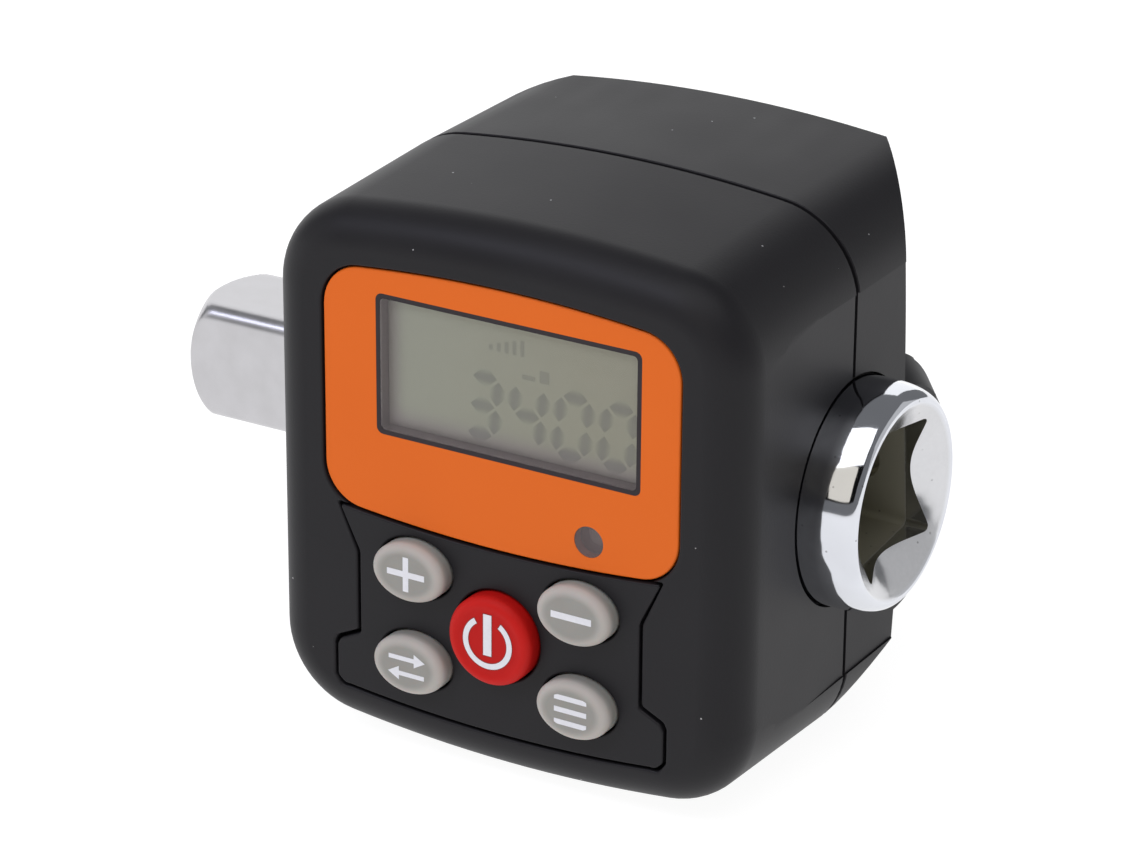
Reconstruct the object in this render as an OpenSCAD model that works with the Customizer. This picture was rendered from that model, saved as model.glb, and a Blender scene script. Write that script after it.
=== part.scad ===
// Digital torque adapter: a square-drive steel shaft with a gauge case clamped round it.
// X is the drive axis, with the female square at +X. -Y is the display side and +Z is up.
// The origin is the middle of the female square's mouth. All lengths are in millimetres.

/* [Case] */
// Width of the case along the drive axis
case_w = 54.4; // [52:0.2:58]
// Height of the case from crown to crown at the parting line
case_h = 60.2; // [58:0.2:64]
// Depth of the front shell, from the parting line to the face
front_depth = 23.5; // [23:0.5:27]
// Depth of the rear shell, from the parting line to the flat back
rear_depth = 22; // [21.5:0.5:24]
// Radius of the crowned top and bottom
crown_r = 158; // [120:2:220]
// Corner radius of the case outline
corner_r = 9.6; // [8:0.2:11]
// Wall thickness of both shells
wall = 2.2; // [1.8:0.1:2.4]
// Thickness of the front wall that carries the lens and the keys
face_t = 3.2; // [3:0.1:3.6]
// Rounding round the front face
edge_r = 4.5; // [3:0.1:5]
// How much lower the outline is near the face than at the parting line
front_drop = 0.8; // [0:0.1:1.2]
// Height of the flat flank on each side
flank_h = 41.6; // [36:0.4:43]
// Step between the flank and the rounded corners
flank_step = 0.3; // [0.1:0.1:0.4]
// Length over which the flank's step fades out towards the face
flank_fade = 18; // [12:1:19]
// Width of the flat back between its side bevels
back_w = 37.2; // [34:0.4:40]
// Distance behind the drive axis at which the side bevels start
bevel_y = 10.2; // [9:0.2:12]
// How much the side bevels bulge at mid height
bevel_bulge = 0.6; // [0.2:0.1:0.8]
// How far the middle of the case lies above the drive axis
case_rise = 0.2; // [0:0.05:0.4]
// Visible gap between the two shells
parting_gap = 0.16; // [0.1:0.02:0.2]

/* [Drive shaft] */
// Size of the square drive, across flats
square = 12.7; // [12:0.1:12.9]
// Play between a male and a female square, across flats
square_play = 0.2; // [0.1:0.05:0.4]
// Depth of the female square
socket_depth = 16; // [14:0.5:17]
// Angle of the female square against the case, in degrees
socket_turn = 6; // [0:1:12]
// Diameter of the female collar
collar_d = 23.6; // [23:0.1:24.4]
// How far the collar stands out of the case
collar_proud = 5.9; // [5:0.1:9]
// Diameter of the ridge round the mouth
ridge_d = 19.6; // [19:0.1:21]
// Length of the rim's rounding
rim_len = 1.2; // [0.8:0.1:2]
// Slope of the bowl, from the drive axis, in degrees
bowl_angle = 50; // [40:1:60]
// Diameter of the shoulder at the male end
shoulder_d = 22; // [20:0.1:23]
// How far the shoulder stands out of the case
shoulder_proud = 3; // [1:0.1:5]
// Length of the male square from the shoulder to its end
male_len = 19.7; // [19:0.1:24]
// Size of the male square across its turned corners
male_across = 17.6; // [16.8:0.1:17.8]
// Length of the domed end of the male square
dome_len = 4.6; // [4:0.1:5.5]
// Diameter of the flat at the very end
end_flat_d = 6.6; // [6:0.1:8]
// Diameter of the torsion section
torsion_d = 16; // [15:0.1:17.5]
// Distance across the flats for the strain gauges
gauge_flats = 14.4; // [14:0.1:15]
// Diameter of the detent ball
ball_d = 4.76; // [4:0.02:5]
// How far the detent ball stands out of the square
ball_proud = 1.2; // [0.9:0.05:1.4]
// Distance of the detent ball from the male end
ball_from_end = 8.6; // [8.4:0.1:10]
// Diameter of the locating pin
pin_d = 2.5; // [2:0.1:3]
// Radial play of the case on the shaft
shaft_play = 0.25; // [0.2:0.01:0.3]
// Thickness of the seal rings
seal_t = 1.3; // [1.1:0.05:1.4]

/* [Display] */
// Width of the lens
lens_w = 40.8; // [39:0.2:42]
// Height of the lens's top crown above the drive axis
lens_top = 23.24; // [22.8:0.02:23.8]
// Height of the lens's bottom crown, below the drive axis
lens_low = -4.34; // [-4.6:0.02:-4]
// Corner radius of the lens
lens_r = 4.6; // [3:0.1:6]
// Thickness of the lens
lens_t = 1.2; // [1:0.1:1.3]
// How far the lens lies below the face
lens_sink = 0.2; // [0.1:0.05:0.3]
// Thickness of the adhesive frame under the lens
gasket_t = 0.2; // [0.1:0.05:0.2]
// Width of the display window, with its dark border
window_w = 30.3; // [28:0.1:30.5]
// Height of the display window, with its dark border
window_h = 15; // [13:0.1:15.4]
// Middle of the window, to the right of the case's middle
window_x = 0.95; // [0:0.05:1.2]
// Height of the window's middle
window_z = 12.7; // [12.4:0.05:12.9]
// Width of the window's dark border
border = 0.5; // [0.3:0.05:0.7]
// Diameter of the round window over the status light
led_window_d = 3.3; // [3:0.1:3.6]
// Place of the round window, to the right of the case's middle
led_x = 10.37; // [9:0.1:12]
// Height of the round window
led_z = -0.92; // [-1.2:0.02:-0.8]
// Thickness of the liquid crystal cell
lcd_t = 2; // [1.6:0.1:2.4]
// How much larger the cell is than the window, on each side
lcd_margin = 1.2; // [1:0.1:1.3]
// Wall of the display holder
holder_t = 1.1; // [0.8:0.1:1.2]
// Thickness of the elastomer connectors
strip_t = 1.6; // [1.2:0.1:2]

/* [Keys] */
// Distance between the left and right keys
key_pitch = 19.24; // [19:0.02:19.6]
// Height of the upper keys' middle
key_upper_z = -8.5; // [-8.8:0.02:-8.2]
// Height of the lower keys' middle
key_lower_z = -18.76; // [-19:0.02:-18.5]
// Width of a grey key
key_w = 8.4; // [7.6:0.1:8.6]
// Height of a grey key
key_h = 6.3; // [5.6:0.1:6.5]
// Diameter of the power key
power_d = 9.6; // [9:0.1:9.8]
// How far the keys stand out of the face
key_proud = 1.9; // [1.2:0.1:2.2]
// Travel of a key
key_travel = 1; // [0.6:0.05:1.1]
// Rounding of a key's upper edge
key_round = 0.7; // [0.4:0.05:0.9]
// Gap between a key and the hole it comes through
key_gap = 0.2; // [0.15:0.01:0.25]
// Half width of the key panel at its waist
panel_waist = 16.3; // [15.6:0.1:16.6]
// Half width of the key panel at its foot
panel_foot = 19.15; // [18.6:0.05:19.4]
// Half width of the key panel at its top
panel_top = 18.6; // [18:0.05:19]
// Height of the panel's bottom crown
panel_low = -24.5; // [-24.6:0.02:-24.2]
// Thickness of the key panel
panel_t = 2; // [1.8:0.1:2.1]
// Groove round the key panel
panel_gap = 0.2; // [0.12:0.02:0.24]
// Thickness of the silicone mat
mat_t = 1.2; // [1:0.1:1.4]
// Thickness of a contact pill
pill_t = 0.5; // [0.4:0.05:0.6]

/* [Board] */
// Space between the front wall and the circuit board
board_space = 5.8; // [5.7:0.1:5.9]
// Thickness of the circuit board
board_t = 1.6; // [1.2:0.1:1.6]
// Height of the circuit board
board_h = 49.6; // [49.2:0.2:50]
// Distance of a board screw from the board's side edge
board_screw_in = 2.2; // [2:0.1:2.3]
// Height of the upper board screws
board_screw_z = 12; // [8:1:15]
// Diameter of a board screw
board_screw_d = 2; // [1.6:0.1:2.1]

/* [Battery bay] */
// Diameter of a cell
cell_d = 10.5; // [10:0.1:10.6]
// Length of a cell with its button
cell_l = 44.5; // [43.5:0.1:44.7]
// Distance between the two cells' axes
cell_pitch = 10.7; // [10.65:0.01:10.8]
// Distance of the cells' axes behind the drive axis
cell_y = 20.2; // [20:0.05:20.4]
// Radius of the rounded bay
hump_r = 15.2; // [15.1:0.05:15.6]
// Distance of the bay's centre line behind the drive axis
hump_y = 13.5; // [13.4:0.05:13.8]
// Height of the bay's centre line
hump_z = -7.05; // [-7.3:0.05:-6.8]
// Length of the bay
hump_w = 50.8; // [50.4:0.1:51.4]
// Bevel round the ends of the bay
hump_bevel = 2.8; // [2:0.1:3]
// Wall of the bay's tub
tub_t = 1.3; // [1.1:0.1:1.4]
// Wall of the battery cover
cover_t = 1.2; // [1:0.05:1.2]
// Gap between the cover and the rear shell
cover_gap = 0.15; // [0.1:0.01:0.2]

/* [Fasteners] */
// Distance of an upper case screw from the case's middle, across
boss_x = 15; // [14:0.1:15.4]
// Distance of a lower case screw from the case's middle, across
boss_low_x = 12.5; // [11.5:0.1:13]
// Distance of the case screws above or below the case's middle
boss_z = 24.2; // [24:0.1:24.4]
// Diameter of a front boss
boss_d = 5.2; // [4.8:0.1:5.4]
// Diameter of a case screw
screw_d = 2.2; // [2:0.1:2.4]
// Diameter of a case screw's head
screw_head_d = 4.4; // [4:0.1:4.5]
// Length of a case screw under its head
screw_l = 16; // [12:1:18]

/* [Hidden] */
$fn = 48;
over = 1;
skin = 0.02;
snug = 0.1;
thread_play = 0.02;
corner_steps = 6;
crown_steps = 6;
edge_steps = 4;
dome_steps = 6;
cavity_r = 2;

case_black = "#2d2c2f";
panel_black = "#29282b";
orange = "#dc6a28";
key_grey = "#9b9994";
key_red = "#c4221f";
steel = "#c8c9cc";

// The face was laid out on a case of this width and height. When the case grows, what lies on the
// face keeps its share of it, and what lies by a wall keeps its distance from that wall.
layout = [54.4, 60.2];
grow_w = case_w - layout[0];
grow_h = case_h - layout[1];
share_w = case_w/layout[0];
share_h = case_h/layout[1];
function across(x) = x*share_w;
function up(z) = z*share_h;
window_wide = window_w + grow_w;
back_wide = back_w + grow_w;
flank_tall = flank_h + grow_h;
board_tall = board_h + grow_h;
boss_upper_x = boss_x + grow_w/2;
boss_lower_x = boss_low_x + grow_w/2;
boss_end_z = boss_z + grow_h/2;
bay_w = hump_w + grow_w;
bay_z = hump_z - grow_h/2;
cell_long = cell_l + grow_w;
power_size = power_d*min(share_w, share_h);
led_at_z = up(lens_low) + led_z - lens_low;

front_h = case_h - 2*front_drop;
mouth_x = case_w/2 + collar_proud;
shoulder_x = -case_w/2 - shoulder_proud;
male_end_x = shoulder_x - male_len;
socket_square = square + square_play;
collar_bore = collar_d/2 + shaft_play;
shoulder_bore = shoulder_d/2 + shaft_play;

face_y = -front_depth;
inner_y = face_y + face_t;
lens_front_y = face_y + lens_sink;
lens_back_y = lens_front_y + lens_t;
shelf_y = lens_back_y + gasket_t;
panel_back_y = face_y + panel_t;
board_front_y = inner_y + board_space;
board_back_y = board_front_y + board_t;
lcd_front_y = inner_y + snug;
lcd_back_y = lcd_front_y + lcd_t;
lcd_w = window_wide + 2*lcd_margin;
lcd_h = up(window_h) + 2*lcd_margin;

saddle_t = 1.8;
saddle_rim = 1.6;
board_clear = 0.4;
board_w = case_w - 2*(wall + saddle_t + board_clear);
post_d = 3.8;
post_x = board_w/2 - board_screw_in;
notch_x = 20.6;
notch_z = 22.4;
notch_side = notch_x + grow_w/2;
notch_end = notch_z + grow_h/2;
boss_front_y = -10.5;
screw_seat_y = 8;
screw_head_t = 2;
head_play = 0.2;
rear_boss_d = 6.6;

pad_t = 0.1;
touch_gap = 0.05;
pill_back_y = board_front_y - pad_t - touch_gap - key_travel;
flange_t = 0.9;
flange_w = 0.5;
stem_share = 0.8;
web_gap = 0.35;
key_top_y = face_y - key_proud;
power_z = (up(key_upper_z) + up(key_lower_z))/2;

facet_at = 50;
corner_x = case_w/2 - corner_r;
corner_z = crown_r - case_h/2 - sqrt(pow(crown_r - corner_r, 2) - pow(corner_x, 2));
facet_p = [case_w/2, bevel_y, -flank_tall/2];
facet_q = [corner_x + corner_r*cos(facet_at), 0, corner_z - corner_r*sin(facet_at)];
facet_v = cross([-sin(facet_at), 0, -cos(facet_at)], facet_p - facet_q);
facet_n = facet_v/norm(facet_v);

bay_x = bay_w/2 - tub_t;
cell_play = 0.3;
bay_floor_y = cell_y - cell_d/2 - cell_play;
bay_half_z = (cell_pitch + cell_d)/2 + cell_play;
tongue_t = 1.1;
tongue_w = 8;
tongue_x = 10;
tongue_l = 1.9;
tongue_play = 0.15;
plate_t = 0.3;
inner_bevel = 1.8;

// Points on an arc, with or without its two ends.
function arc(c, r, a0, a1, n) = [for (i = [0:n]) let (a = a0 + (a1 - a0)*i/n) c + r*[cos(a), sin(a)]];
function mid_arc(c, r, a0, a1, n) = [for (i = [1:n - 1]) let (a = a0 + (a1 - a0)*i/n)
  c + r*[cos(a), sin(a)]];

// A round-cornered outline with crowned top and bottom, w wide, from low to top.
function crowned(w, top, low, r) =
  let (cx = w/2 - r, dz = sqrt(pow(crown_r - r, 2) - pow(cx, 2)), at = atan2(dz, cx),
    zt = top - crown_r + dz, zl = low + crown_r - dz)
  concat(arc([cx, zt], r, 0, at, corner_steps),
    mid_arc([0, top - crown_r], crown_r, at, 180 - at, crown_steps),
    arc([-cx, zt], r, 180 - at, 180, corner_steps),
    arc([-cx, zl], r, 180, 180 + at, corner_steps),
    mid_arc([0, low + crown_r], crown_r, 180 + at, 360 - at, crown_steps),
    arc([cx, zl], r, 360 - at, 360, corner_steps));

// The case's outline, h high at its crown and drawn in by d.
function case_outline(h, d) = crowned(case_w - 2*d, h/2 - d, d - h/2, corner_r - d);

// The rear shell seen from above, with its side bevels, drawn in by d.
function rear_plan(d) =
  let (hw = case_w/2, nx = rear_depth - bevel_y, ny = hw - back_wide/2, l = norm([nx, ny]),
    c = (nx*hw + ny*bevel_y)/l - d, xs = hw - d, ys = rear_depth - d,
    y1 = (c*l - nx*xs)/ny, x1 = (c*l - ny*ys)/nx)
  [[xs, -over], [xs, y1], [x1, ys], [-x1, ys], [-xs, y1], [-xs, -over]];

// The lens's outline, grown by g.
function lens_outline(g) = crowned(across(lens_w) + 2*g, up(lens_top) + g, up(lens_low) - g, lens_r + g);

function oval(w, h) = [for (i = [0:31]) [w/2*cos(360*i/32), h/2*sin(360*i/32)]];

// The key panel's outline, grown by g: a waisted plate under the lens.
panel_shoulder_z = -3.5;
waist_top_z = -8.2;
waist_low_z = -17.35;
foot_top_z = -18.9;
foot_step = 0.35;
foot_low_z = -22.7;
foot_r = 0.8;
panel_land = 0.25;
opening_half_w = 14.6;
opening_top = -5;
opening_low = -22.3;
function panel_outline(g) =
  let (waist = across(panel_waist), foot = across(panel_foot), foot_z = up(foot_top_z),
    side = [[across(panel_top) + g, up(panel_shoulder_z) + g], [waist + g, up(waist_top_z)],
      [waist + g, up(waist_low_z) + g], [foot - foot_step + g, foot_z + foot_step + g],
      [foot + g, foot_z - foot_step + g], [foot + g, up(foot_low_z)],
      [foot - foot_r + g, up(foot_low_z) - foot_r - g]],
    n = len(side), low = up(panel_low) - g + crown_r, top = up(lens_low) - panel_land + g + crown_r,
    al = asin((foot - 2*foot_r)/crown_r), at = asin(waist/crown_r))
  concat(side, arc([0, low], crown_r, 270 + al, 270 - al, crown_steps),
    [for (i = [1:n]) [-side[n - i][0], side[n - i][1]]],
    arc([0, top], crown_r, 270 - at, 270 + at, crown_steps));

// Places a shape in the part's frame: one given from the shaft's middle, or from the case's middle.
module on_axis() translate([-mouth_x, 0, 0]) children();
module in_case() translate([-mouth_x, 0, case_rise]) children();

// An outline in the XZ plane made solid from y0 to y1.
module plate(y0, y1, pts) translate([0, y1, 0]) rotate([90, 0, 0]) linear_extrude(y1 - y0) polygon(pts);

// A box from corner a to corner b.
module box(a, b) translate(a) cube(b - a);

// A cylinder along Y, and a turned shape along X from points of distance along X and radius.
module rod_y(x, z, r, y0, y1) translate([x, y1, z]) rotate([90, 0, 0]) cylinder(r = r, h = y1 - y0);
module turned_x(pts) rotate([0, 90, 0]) rotate_extrude($fn = 96) polygon([for (p = pts) [p[1], p[0]]]);

// The window in the lens, as a rectangle grown by g.
module window_hole(y0, y1, g)
  box([across(window_x) - window_wide/2 - g, y0, up(window_z) - up(window_h)/2 - g],
    [across(window_x) + window_wide/2 + g, y1, up(window_z) + up(window_h)/2 + g]);

// The bores in the case for the shaft: the collar's and the shoulder's.
module shaft_bores() translate([0, 0, -case_rise]) {
  turned_x([[0, 0], [0, collar_bore], [case_w, collar_bore], [case_w, 0]]);
  turned_x([[-case_w, 0], [-case_w, shoulder_bore], [0, shoulder_bore], [0, 0]]);
}

// Something at each of the four case screws.
module at_bosses()
  for (s = [-1, 1]) {
    translate([s*boss_upper_x, 0, boss_end_z]) children();
    translate([s*boss_lower_x, 0, -boss_end_z]) mirror([0, 0, 1]) children();
  }

// The four columns for the case screws, each joined to the crowned wall beside it.
module boss_columns(d, y0, y1)
  at_bosses() {
    rod_y(0, 0, d/2, y0, y1);
    box([-d/2, y0, 0], [d/2, y1, d]);
  }

// Something at each of the four board screws.
module at_posts()
  for (sx = [-1, 1], sz = [-1, 1]) translate([sx*post_x, 0, sz*up(board_screw_z)]) children();

// Front shell: a deep moulding with a rounded face, a lens pocket and an opening for the keys.
module front_body()
  hull() {
    for (i = [0:edge_steps])
      let (a = 90*i/edge_steps, y = face_y + edge_r*(1 - cos(a)))
        plate(y, y + skin, case_outline(front_h, edge_r*(1 - sin(a))));
    plate(-parting_gap/2 - skin, -parting_gap/2, case_outline(case_h, 0));
  }

module front_cavity()
  hull() {
    plate(inner_y, inner_y + skin, case_outline(front_h, wall + cavity_r));
    plate(inner_y + cavity_r, inner_y + cavity_r + skin, case_outline(front_h, wall));
    plate(-skin, over, case_outline(case_h, wall));
  }

module flank_cut_front()
  for (s = [-1, 1])
    translate([0, 0, -flank_tall/2]) linear_extrude(flank_tall)
      polygon([[s*(case_w/2 - flank_step), 0], [s*case_w/2, -flank_fade],
        [s*(case_w/2 + over), -flank_fade], [s*(case_w/2 + over), over],
        [s*(case_w/2 - flank_step), over]]);

module front_shell() color(case_black) in_case()
  difference() {
    union() {
      difference() {
        front_body();
        front_cavity();
      }
      intersection() {
        front_body();
        union() {
          boss_columns(boss_d, boss_front_y, -parting_gap/2);
          at_posts() rod_y(0, 0, post_d/2, inner_y - over, board_front_y);
          for (s = [-1, 1])
            translate([s*(case_w/2 - wall - saddle_t/2), 0, 0])
              box([-saddle_t/2 - skin, -collar_bore - saddle_rim, -collar_bore - saddle_rim],
                [saddle_t/2 + skin, 0, collar_bore + saddle_rim]);
        }
      }
    }
    shaft_bores();
    flank_cut_front();
    plate(face_y - over, shelf_y, lens_outline(panel_gap));
    window_hole(face_y, inner_y + over, -border);
    rod_y(across(led_x), led_at_z, led_window_d/2, face_y, inner_y + over);
    plate(face_y - over, panel_back_y, panel_outline(panel_gap));
    box([-across(opening_half_w), face_y - over, up(opening_low)],
      [across(opening_half_w), inner_y + over, up(opening_top)]);
    at_bosses() rod_y(0, 0, screw_d/2 + thread_play, screw_seat_y - screw_l - over, over);
    at_posts() rod_y(0, 0, board_screw_d/2 + thread_play, inner_y, board_front_y + over);
  }

// Rear shell: a shallower moulding with bevelled sides, a battery tub and saddles for the shaft.
module rear_prism(d) {
  intersection() {
    plate(0, rear_depth - d, case_outline(case_h, d));
    translate([0, 0, -case_h]) linear_extrude(2*case_h) polygon(rear_plan(d));
    not_facets(d);
  }
}

// What lies inside the planar facets on the two lower corners, drawn in by d.
module not_facets(d)
  difference() {
    box([-case_w, -over, -case_h], [case_w, rear_depth + over, case_h]);
    for (s = [0, 1])
      mirror([s, 0, 0]) translate(facet_p) rotate([0, acos(facet_n[2]), atan2(facet_n[1], facet_n[0])])
        translate([-case_w/2, -case_w/2, -d]) cube(case_w);
  }

// The bulging part of the side bevels, between the two creases.
module bevel_swell()
  intersection() {
    box([-case_w/2, 0, -flank_tall/2], [case_w/2, rear_depth, flank_tall/2]);
    side_bevel(1);
    side_bevel(-1);
  }

// A cylinder of large radius whose flank is the bulging bevel on side s.
module side_bevel(s) {
  r = (pow(flank_tall/2, 2) + pow(bevel_bulge, 2))/(2*bevel_bulge);
  turn = atan2(case_w/2 - back_wide/2, rear_depth - bevel_y);
  translate([s*case_w/2, bevel_y, 0]) rotate([0, 0, s*turn]) translate([s*(bevel_bulge - r), case_w, 0])
    rotate([90, 0, 0]) cylinder(r = r, h = 3*case_w, $fn = 256);
}

// The rounded bay for the cells, as a turned solid of radius r and half length hx with bevel b.
module hump(r, hx, b)
  translate([0, hump_y, bay_z])
    turned_x([[-hx, 0], [-hx, r - b], [b - hx, r], [hx - b, r], [hx, r - b], [hx, 0]]);

module rear_body()
  union() {
    rear_prism(0);
    bevel_swell();
    intersection() {
      hump(hump_r, bay_w/2, hump_bevel);
      box([-case_w, bevel_y, -case_h], [case_w, rear_depth, case_h]);
    }
  }

module bay_cavity()
  box([-bay_x, bay_floor_y, bay_z - bay_half_z], [bay_x, rear_depth + over, bay_z + bay_half_z]);

module at_tongues(p)
  for (s = [-1, 1], sx = [-1, 1])
    translate([sx*tongue_x, 0, bay_z + s*(bay_half_z + tongue_play + tongue_t/2)])
      box([-tongue_w/2 - p, rear_depth - tongue_l - p, -tongue_t/2 - p],
        [tongue_w/2 + p, rear_depth + over, tongue_t/2 + p]);

module rear_shell() color(case_black) in_case()
  difference() {
    union() {
      difference() {
        rear_body();
        rear_prism(wall);
        box([-case_w, -case_w, -case_h], [case_w, parting_gap/2, case_h]);
      }
      intersection() {
        rear_body();
        union() {
          box([-bay_x - tub_t, bay_floor_y - tub_t, bay_z - bay_half_z - tub_t],
            [bay_x + tub_t, rear_depth, bay_z + bay_half_z + tub_t]);
          boss_columns(rear_boss_d, parting_gap/2, rear_depth);
          for (s = [-1, 1])
            translate([s*(case_w/2 - wall - saddle_t), 0, 0])
              box([-saddle_t - skin, parting_gap/2, -collar_bore - saddle_rim],
                [saddle_t + skin, bay_floor_y - tub_t/2, collar_bore + saddle_rim]);
        }
      }
    }
    bay_cavity();
    shaft_bores();
    at_tongues(tongue_play);
    for (s = [-1, 1])
      translate([s*case_w/2, 0, 0])
        box([-flank_step, -over, -flank_tall/2], [flank_step, bevel_y + flank_fade, flank_tall/2]);
    at_bosses() rod_y(0, 0, screw_d/2 + head_play, -over, screw_seat_y + over);
    at_bosses() rod_y(0, 0, screw_head_d/2 + head_play, screw_seat_y, rear_depth + over);
    rod_y(pin_x, -case_rise, pin_d/2 + snug, 0, pin_end_y + snug);
  }

// Display: lens with its adhesive frame, liquid crystal cell, holder, light guide and connectors.
module display_lens() color(orange) in_case()
  plate(lens_front_y, lens_back_y, lens_outline(0));

gasket_in = 0.4;
gasket_hole = 0.6;
module lens_gasket() color("black") in_case()
  difference() {
    plate(lens_back_y, shelf_y, lens_outline(-gasket_in));
    window_hole(lens_back_y - over, shelf_y + over, 0);
    rod_y(across(led_x), led_at_z, led_window_d/2 + gasket_hole, lens_back_y - over, shelf_y + over);
  }

module lcd_block(y0, y1, g, cut)
  box([across(window_x) - lcd_w/2 - g, y0, up(window_z) - lcd_h/2 - g + cut],
    [across(window_x) + lcd_w/2 + g, y1, up(window_z) + lcd_h/2 + g - cut]);

module lcd_glass() color("#8a8b7c") in_case() lcd_block(lcd_front_y, lcd_back_y, 0, 0);

module lcd_holder() color("#3c3a3c") in_case()
  difference() {
    lcd_block(lcd_front_y, board_front_y, holder_t + snug, 0);
    lcd_block(lcd_front_y - over, board_front_y + over, snug, 0);
  }

module lcd_backlight() color("white") in_case()
  lcd_block(lcd_back_y + snug, board_front_y, -snug, strip_t + snug);

module lcd_connectors() color("#e08a9a") in_case()
  for (s = [-1, 1])
    translate([across(window_x), 0, up(window_z) + s*(lcd_h/2 - strip_t/2)])
      box([-lcd_w/2 + snug, lcd_back_y, -strip_t/2], [lcd_w/2 - snug, board_front_y, strip_t/2]);

led_d = 3;
led_l = 5.3;
led_leg = 0.5;
led_legs = 2.54;
led_rim = 0.4;
led_rim_t = 1;
module status_led() color("#d8d4d0") in_case()
  translate([across(led_x), 0, led_at_z]) {
    rod_y(0, 0, led_d/2, shelf_y + snug + led_d/2, shelf_y + snug + led_l);
    translate([0, shelf_y + snug + led_d/2, 0]) sphere(d = led_d);
    rod_y(0, 0, led_d/2 + led_rim, shelf_y + snug + led_l - led_rim_t, shelf_y + snug + led_l);
    for (s = [-1, 1]) rod_y(s*led_legs/2, 0, led_leg/2, shelf_y + snug + led_l - led_rim_t, board_front_y);
  }

// Key panel: a waisted plate with a hole for each key.
module keypad_panel() color(panel_black) in_case()
  difference() {
    plate(face_y, panel_back_y, panel_outline(0));
    for (k = key_places)
      translate([k[0], 0, k[1]])
        plate(face_y - over, panel_back_y + over, oval(k[2] + 2*key_gap, k[3] + 2*key_gap));
  }

// Silicone mat on the board, with a hole round each key's foot.
mat_side = 18;
mat_edge = 0.6;
mat_half_w = mat_side + grow_w/2;
mat_top = up(key_upper_z) + up(key_h)/2 + flange_w + web_gap + mat_edge;
mat_low = up(key_lower_z) - up(key_h)/2 - flange_w - web_gap - mat_edge;
module keypad_mat() color("#8f8d89") in_case()
  difference() {
    box([-mat_half_w, board_front_y - mat_t, mat_low], [mat_half_w, board_front_y, mat_top]);
    for (k = key_places)
      translate([k[0], 0, k[1]])
        plate(board_front_y - mat_t - over, board_front_y + over,
          oval(k[2] + 2*flange_w + 2*web_gap, k[3] + 2*flange_w + 2*web_gap));
  }

// Place, width and height of each key: plus, minus, power, units, menu.
key_side = across(key_pitch)/2;
key_places = [[-key_side, up(key_upper_z), across(key_w), up(key_h)],
  [key_side, up(key_upper_z), across(key_w), up(key_h)],
  [0, power_z, power_size, power_size],
  [-key_side, up(key_lower_z), across(key_w), up(key_h)],
  [key_side, up(key_lower_z), across(key_w), up(key_h)]];

module key_body(k)
  translate([k[0], 0, k[1]]) {
    hull() {
      for (a = [0, 30, 60, 90])
        let (y = key_top_y + key_round*(1 - cos(a)), d = 2*key_round*(1 - sin(a)))
          plate(y, y + skin, oval(k[2] - d, k[3] - d));
      plate(panel_back_y - skin, panel_back_y, oval(k[2], k[3]));
    }
    plate(panel_back_y - skin, pill_back_y - pill_t, oval(k[2]*stem_share, k[3]*stem_share));
    plate(pill_back_y - pill_t - flange_t, pill_back_y - pill_t,
      oval(k[2] + 2*flange_w, k[3] + 2*flange_w));
  }

pill_d = 4;
module key_pill(k)
  translate([k[0], 0, k[1]]) rod_y(0, 0, pill_d/2, pill_back_y - pill_t, pill_back_y);

module plus_key() color(key_grey) in_case() key_body(key_places[0]);
module minus_key() color(key_grey) in_case() key_body(key_places[1]);
module power_key() color(key_red) in_case() key_body(key_places[2]);
module units_key() color(key_grey) in_case() key_body(key_places[3]);
module menu_key() color(key_grey) in_case() key_body(key_places[4]);
module plus_pill() color("#222222") in_case() key_pill(key_places[0]);
module minus_pill() color("#222222") in_case() key_pill(key_places[1]);
module power_pill() color("#222222") in_case() key_pill(key_places[2]);
module units_pill() color("#222222") in_case() key_pill(key_places[3]);
module menu_pill() color("#222222") in_case() key_pill(key_places[4]);

// Gold contact pads under the pills.
module contact_pads() color("#c9a227") in_case()
  for (k = key_places)
    translate([k[0], 0, k[1]]) rod_y(0, 0, pill_d/2, board_front_y - pad_t, board_front_y);

// Circuit board, notched at the corners for the case's bosses.
module circuit_board() color("#1f6b3a") in_case()
  difference() {
    box([-board_w/2, board_front_y, -board_tall/2], [board_w/2, board_back_y, board_tall/2]);
    for (sx = [-1, 1], sz = [-1, 1])
      translate([sx*(notch_side + board_w/2), 0, sz*(notch_end + board_tall/2)])
        box([-board_w/2, board_front_y - over, -board_tall/2],
          [board_w/2, board_back_y + over, board_tall/2]);
    at_posts() rod_y(0, 0, board_screw_d/2 + snug, board_front_y - over, board_back_y + over);
  }

board_screw_l = 5;
board_head_d = 3.6;
board_head_t = 1.3;
cross_w = 0.5;
cross_depth = 0.5;
module board_screws() color("#b9babd") in_case()
  at_posts() {
    rod_y(0, 0, board_screw_d/2, board_back_y - board_screw_l, board_back_y + skin);
    difference() {
      rod_y(0, 0, board_head_d/2, board_back_y, board_back_y + board_head_t);
      translate([0, board_back_y + board_head_t, 0])
        box([-cross_w/2, -cross_depth, -board_head_d/3], [cross_w/2, over, board_head_d/3]);
      translate([0, board_back_y + board_head_t, 0])
        box([-board_head_d/3, -cross_depth, -cross_w/2], [board_head_d/3, over, cross_w/2]);
    }
  }

// Parts soldered to the back of the board.
chip_w = 9;
chip_t = 1.4;
chip_x = 9.6;
parts_z = 16;
parts_end = parts_z + grow_h/2;
module main_chip() color("#1c1c1e") in_case()
  translate([chip_x, board_back_y, parts_end]) box([-chip_w/2, 0, -chip_w/2], [chip_w/2, chip_t, chip_w/2]);

amp_w = 5;
amp_h = 4;
module amplifier_chip() color("#1c1c1e") in_case()
  translate([0, board_back_y, -parts_end]) box([-amp_w/2, 0, -amp_h/2], [amp_w/2, chip_t, amp_h/2]);

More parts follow.
